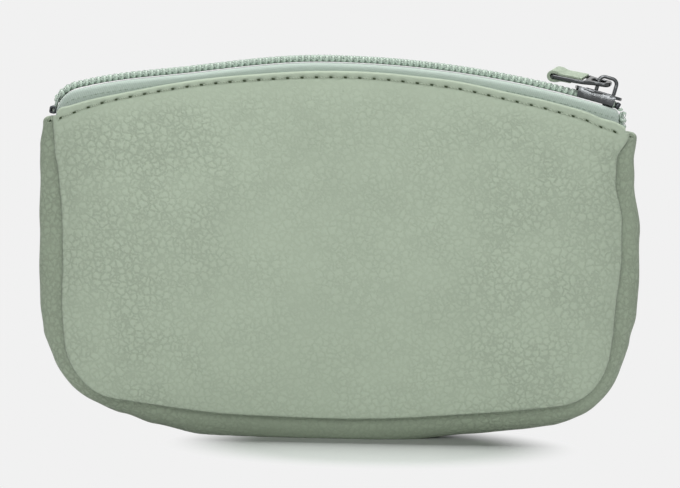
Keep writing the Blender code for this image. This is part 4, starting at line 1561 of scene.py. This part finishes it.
# Pull: a cast frame, plated like the slider, whose eye hangs in the crown, and a strip of
# the panel leather folded round its end bar. It lies askew on the slider, tip to the left
# and a little to the back.
pull_frame = 0.8 * MM
pull_arm = 0.8 * MM
pull_eye_length = 3.2 * MM
pull_eye_half_width = 1.5 * MM
pull_eye_wall = 0.75 * MM
pull_neck = 1.0 * MM
pull_shoulder = 4.5 * MM
pull_length = 11.0 * MM
pull_half_width = 3.9 * MM
pull_leather = 0.6 * MM
pull_gap = 0.15 * MM
pull_leather_top_start = 4.6 * MM
pull_leather_low_start = 6.8 * MM
pull_leather_rise_length = 1.6 * MM
pull_strip_columns = 14
pull_lift_steps = 8
pull_wrap_steps = 16
pull_yaw = math.radians(17)
pull_roll = math.radians(12)
pull_droop = math.radians(5)
pull_seat = (slider_seat @ Matrix.Translation((crown_offset, 0, plate_high + pull_axis_height))
             @ Euler((pull_roll, -pull_droop, -pull_yaw)).to_matrix().to_4x4())


def round_rectangle(near, far, half, corner):
    """Outline of a rectangle with round corners, between two distances along a piece."""
    outline = []
    for x, y, first in ((near - corner, half - corner, 0), (far + corner, half - corner, 90),
                        (far + corner, corner - half, 180), (near - corner, corner - half, 270)):
        for turn in (0, 22.5, 45, 67.5, 90):
            angle = math.radians(first + turn)
            outline.append((x + corner * math.cos(angle), y + corner * math.sin(angle)))
    return outline


def pull_frame_piece():
    """Metal frame of the pull."""
    eye = pull_eye_half_width + pull_eye_wall
    half_wall = pull_eye_wall / 2
    upper = [(pull_eye_wall, eye / 2), (half_wall, eye - half_wall), (-half_wall, eye),
             (-pull_eye_length * 2 / 3, eye), (-pull_shoulder, pull_half_width),
             (-pull_length + pull_arm, pull_half_width),
             (-pull_length, pull_half_width - pull_arm)]
    outer = smooth_outline(upper + [(x, -y) for x, y in reversed(upper)], 2)
    hole = round_rectangle(-pull_frame / 2, -pull_eye_length, pull_eye_half_width, pull_eye_wall)
    window = round_rectangle(-pull_eye_length - pull_neck, -pull_length + pull_arm,
                             pull_half_width - pull_arm, pull_arm / 2)
    bm = flat_mesh([outer, hole, window], -pull_frame / 2, pull_frame / 2, pull_frame * 0.3)
    bmesh.ops.transform(bm, matrix=pull_seat, verts=bm.verts)
    return object_from(bm, "pull_metal_frame", black_nickel, 35)


def pull_strip():
    """Leather strip folded round the end bar."""
    flat = (pull_leather + layer_gap) / 2
    raised = (pull_frame + pull_leather) / 2 + pull_gap
    bar_middle = pull_length - pull_arm / 2
    wrap = pull_arm / 2 + pull_gap + pull_leather / 2
    lift_end = bar_middle - pull_arm / 2
    lift_start = lift_end - pull_leather_rise_length
    path = [(mix(pull_leather_top_start, lift_start, k / 10), flat) for k in range(10)]
    lift = [(mix(lift_start, lift_end, share), mix(flat, raised, ease(share)))
            for share in [k / pull_lift_steps for k in range(pull_lift_steps + 1)]]
    path += lift
    for k in range(1, pull_wrap_steps):
        turn = math.pi * k / pull_wrap_steps
        path.append((bar_middle + wrap * math.sin(turn), raised * math.cos(turn)))
    path += [(x, -z) for x, z in reversed(lift)]
    path += [(mix(lift_start, pull_leather_low_start, k / 3), -flat) for k in range(1, 4)]
    half = pull_half_width - pull_arm - pull_gap

    def place(i, j):
        x, z = path[i]
        return pull_seat @ Vector((-x, mix(-half, half, j / pull_strip_columns), z))

    bm, table = sheet_grid(len(path) - 1, pull_strip_columns, place)
    face_outwards(bm, table[5, pull_strip_columns // 2].link_faces[0], Vector((0, 0, 1)))
    strip = thicken(object_from(bm, "pull_leather_strip", panel_leather), pull_leather, 0)
    return round_edges(strip, 0.08 * MM, 2, 50)


carry(pull_frame_piece(), "pull", "pull_frame")
carry(pull_strip(), "pull", "pull_leather")

# Stops: brass wire clinched round both rows of teeth at the left end, and a small brass
# clamp pressed on each row where the slider ends its way.

# Brass, blackened: darker and duller than the slider, with soft highlights on round edges
blackened_brass = plated_metal("blackened_brass", "3A3D3F", 0.28, 0.2)


def stop_block(name, length, width, height, run, side, reach, middle_height):
    """Block with round edges, standing on the zip's path."""
    middle, angle = zip_frame(run)
    seat = (Matrix.Translation(zip_point(run, side, reach, middle_height))
            @ Matrix.Rotation(angle, 4, "Y") @ Matrix.Diagonal((length, width, height, 1)))
    bm = bmesh.new()
    bmesh.ops.create_cube(bm, size=1, matrix=seat)
    bmesh.ops.bevel(bm, geom=bm.edges, offset=min(length, width, height) * 0.3, segments=4,
                    profile=0.5, affect="EDGES", material=-1)
    return object_from(bm, name, blackened_brass, 60)


end_stop_width = 4.4 * MM
end_stop_height = 1.35 * MM
end_stop_wall = 0.36 * MM
end_stop_corner = 0.4 * MM


def end_clip():
    """Flat wire bent round both rows of teeth and closed."""
    half = end_stop_length / 2
    outer = round_rectangle(half, -half, end_stop_height / 2, end_stop_corner)
    inner = round_rectangle(half - end_stop_wall, end_stop_wall - half,
                            end_stop_height / 2 - end_stop_wall, end_stop_corner / 2)
    bm = flat_mesh([outer, inner], -end_stop_width / 2, end_stop_width / 2, 0.08 * MM)
    run = bend_end(LEFT) + half
    seat = (Matrix.Translation(zip_point(run, FRONT, 0, coil_low + end_stop_height / 2))
            @ Matrix.Rotation(zip_frame(run)[1], 4, "Y") @ Matrix.Rotation(math.pi / 2, 4, "X"))
    bmesh.ops.transform(bm, matrix=seat, verts=bm.verts)
    return object_from(bm, "end_stop_clip", blackened_brass, 35)


carry(end_clip(), "pouch", "end_stop")
top_stop_run = slider_run + slider_length / 2 - slider_wall - top_stop_length / 2
for side, word in ((FRONT, "front"), (BACK, "back")):
    carry(stop_block(word + "_top_stop_clip", top_stop_length, coil_reach - coil_root_reach,
                     coil_height, top_stop_run, side,
                     (coil_reach + coil_root_reach) / 2 + coil_split,
                     (coil_low + coil_high) / 2), "pouch", word + "_top_stop")

# Floor, light and camera: a pale paper sweep under two softboxes. The floor takes the
# object's shadow near it and fades into the plain pale backdrop further out.
backdrop_colour = "F1F1F1"
floor_half = 3.0
shadow_middle = (7.0 * MM, -12.5 * MM, 0)
shadow_half_width = 41 * MM
shadow_half_depth = 27 * MM
shadow_fade_share = 0.55
room_light = 0.10


def pale_rays(tree):
    """1 for the rays that see the pale backdrop: camera, glossy and transmission rays."""
    paths = add_node(tree, "LightPath")
    rays = paths.outputs["Is Camera Ray"]
    for other in ("Is Glossy Ray", "Is Transmission Ray"):
        rays = add_node(tree, "Math", [(0, rays), (1, paths.outputs[other])],
                        operation="ADD", use_clamp=True)
    return rays


# Matt paper: pale grey, without gloss or pattern
paper = bpy.data.materials.new("matt_paper")
paper.use_nodes = True
paper_tree = paper.node_tree
paper_tree.nodes.clear()
paper_place = add_node(paper_tree, "TexCoord").outputs["Object"]
paper_place = add_node(paper_tree, "VectorMath", [
    (0, paper_place), (1, shadow_middle)], operation="SUBTRACT")
paper_place = add_node(paper_tree, "VectorMath", [
    (0, paper_place), (1, (1 / shadow_half_width, 1 / shadow_half_depth, 0))],
    operation="MULTIPLY")
paper_distance = add_node(paper_tree, "VectorMath", [(0, paper_place)],
                          operation="LENGTH")
paper_far = add_node(paper_tree, "MapRange", [
    ("Value", paper_distance), ("From Min", shadow_fade_share), ("From Max", 1.0)],
    interpolation_type="SMOOTHSTEP")
paper_rays = pale_rays(paper_tree)
paper_tone = add_node(paper_tree, "Mix", [
    (0, paper_rays), (6, linear("E6E6E6")), (7, linear("C6CAC7"))], data_type="RGBA")
paper_switch = add_node(paper_tree, "Math", [
    (0, paper_far), (1, paper_rays)], operation="MULTIPLY")
paper_surface = add_node(paper_tree, "MixShader", [
    (0, paper_switch),
    (1, add_node(paper_tree, "BsdfDiffuse", [("Color", paper_tone)])),
    (2, add_node(paper_tree, "Emission", [("Color", linear(backdrop_colour))]))])
add_node(paper_tree, "OutputMaterial", [("Surface", paper_surface)])
floor_bm = bmesh.new()
bmesh.ops.create_grid(floor_bm, x_segments=1, y_segments=1, size=floor_half)
object_from(floor_bm, "floor", paper)

world = bpy.data.worlds.new("studio")
bpy.context.scene.world = world
world.use_nodes = True
world_tree = world.node_tree
world_tree.nodes.clear()
world_strength = add_node(world_tree, "MapRange", [
    ("Value", pale_rays(world_tree)), ("To Min", room_light), ("To Max", 1.0)])
world_light = add_node(world_tree, "Background", [
    ("Color", linear(backdrop_colour)), ("Strength", world_strength)])
add_node(world_tree, "OutputWorld", [("Surface", world_light)])


def area_lamp(name, place, target, size_x, size_y, power):
    """Soft rectangular lamp that points at a target."""
    lamp = bpy.data.lights.new(name, "AREA")
    lamp.shape = "RECTANGLE"
    lamp.size = size_x
    lamp.size_y = size_y
    lamp.energy = power
    obj = shown(lamp)
    obj.location = place
    direction = Vector(target) - Vector(place)
    obj.rotation_euler = direction.to_track_quat("-Z", "Y").to_euler()


area_lamp("top_softbox", place=(0, 0.05, 0.78), target=(0, 0, 0.03),
          size_x=0.6, size_y=0.5, power=7.4)
area_lamp("front_softbox", place=(0, -0.77, 0.28), target=(0, 0, 0.04),
          size_x=0.36, size_y=0.22, power=3.0)

view_elevation = math.radians(5)
view_roll = math.radians(1.15)
view_distance = 0.509
view_target = Vector((0, 0, 38.6 * MM))
camera_data = bpy.data.cameras.new("photo_camera")
camera_data.lens = 135
camera_data.sensor_width = 36
camera_data.clip_start = 0.01
camera = shown(camera_data)
camera.location = view_target + view_distance * Vector((0, -math.cos(view_elevation),
                                                        math.sin(view_elevation)))
camera.rotation_euler = (Matrix.Rotation(math.pi / 2 - view_elevation, 3, "X")
                         @ Matrix.Rotation(view_roll, 3, "Z")).to_euler()
bpy.context.scene.camera = camera
bpy.context.scene.view_settings.view_transform = "Standard"
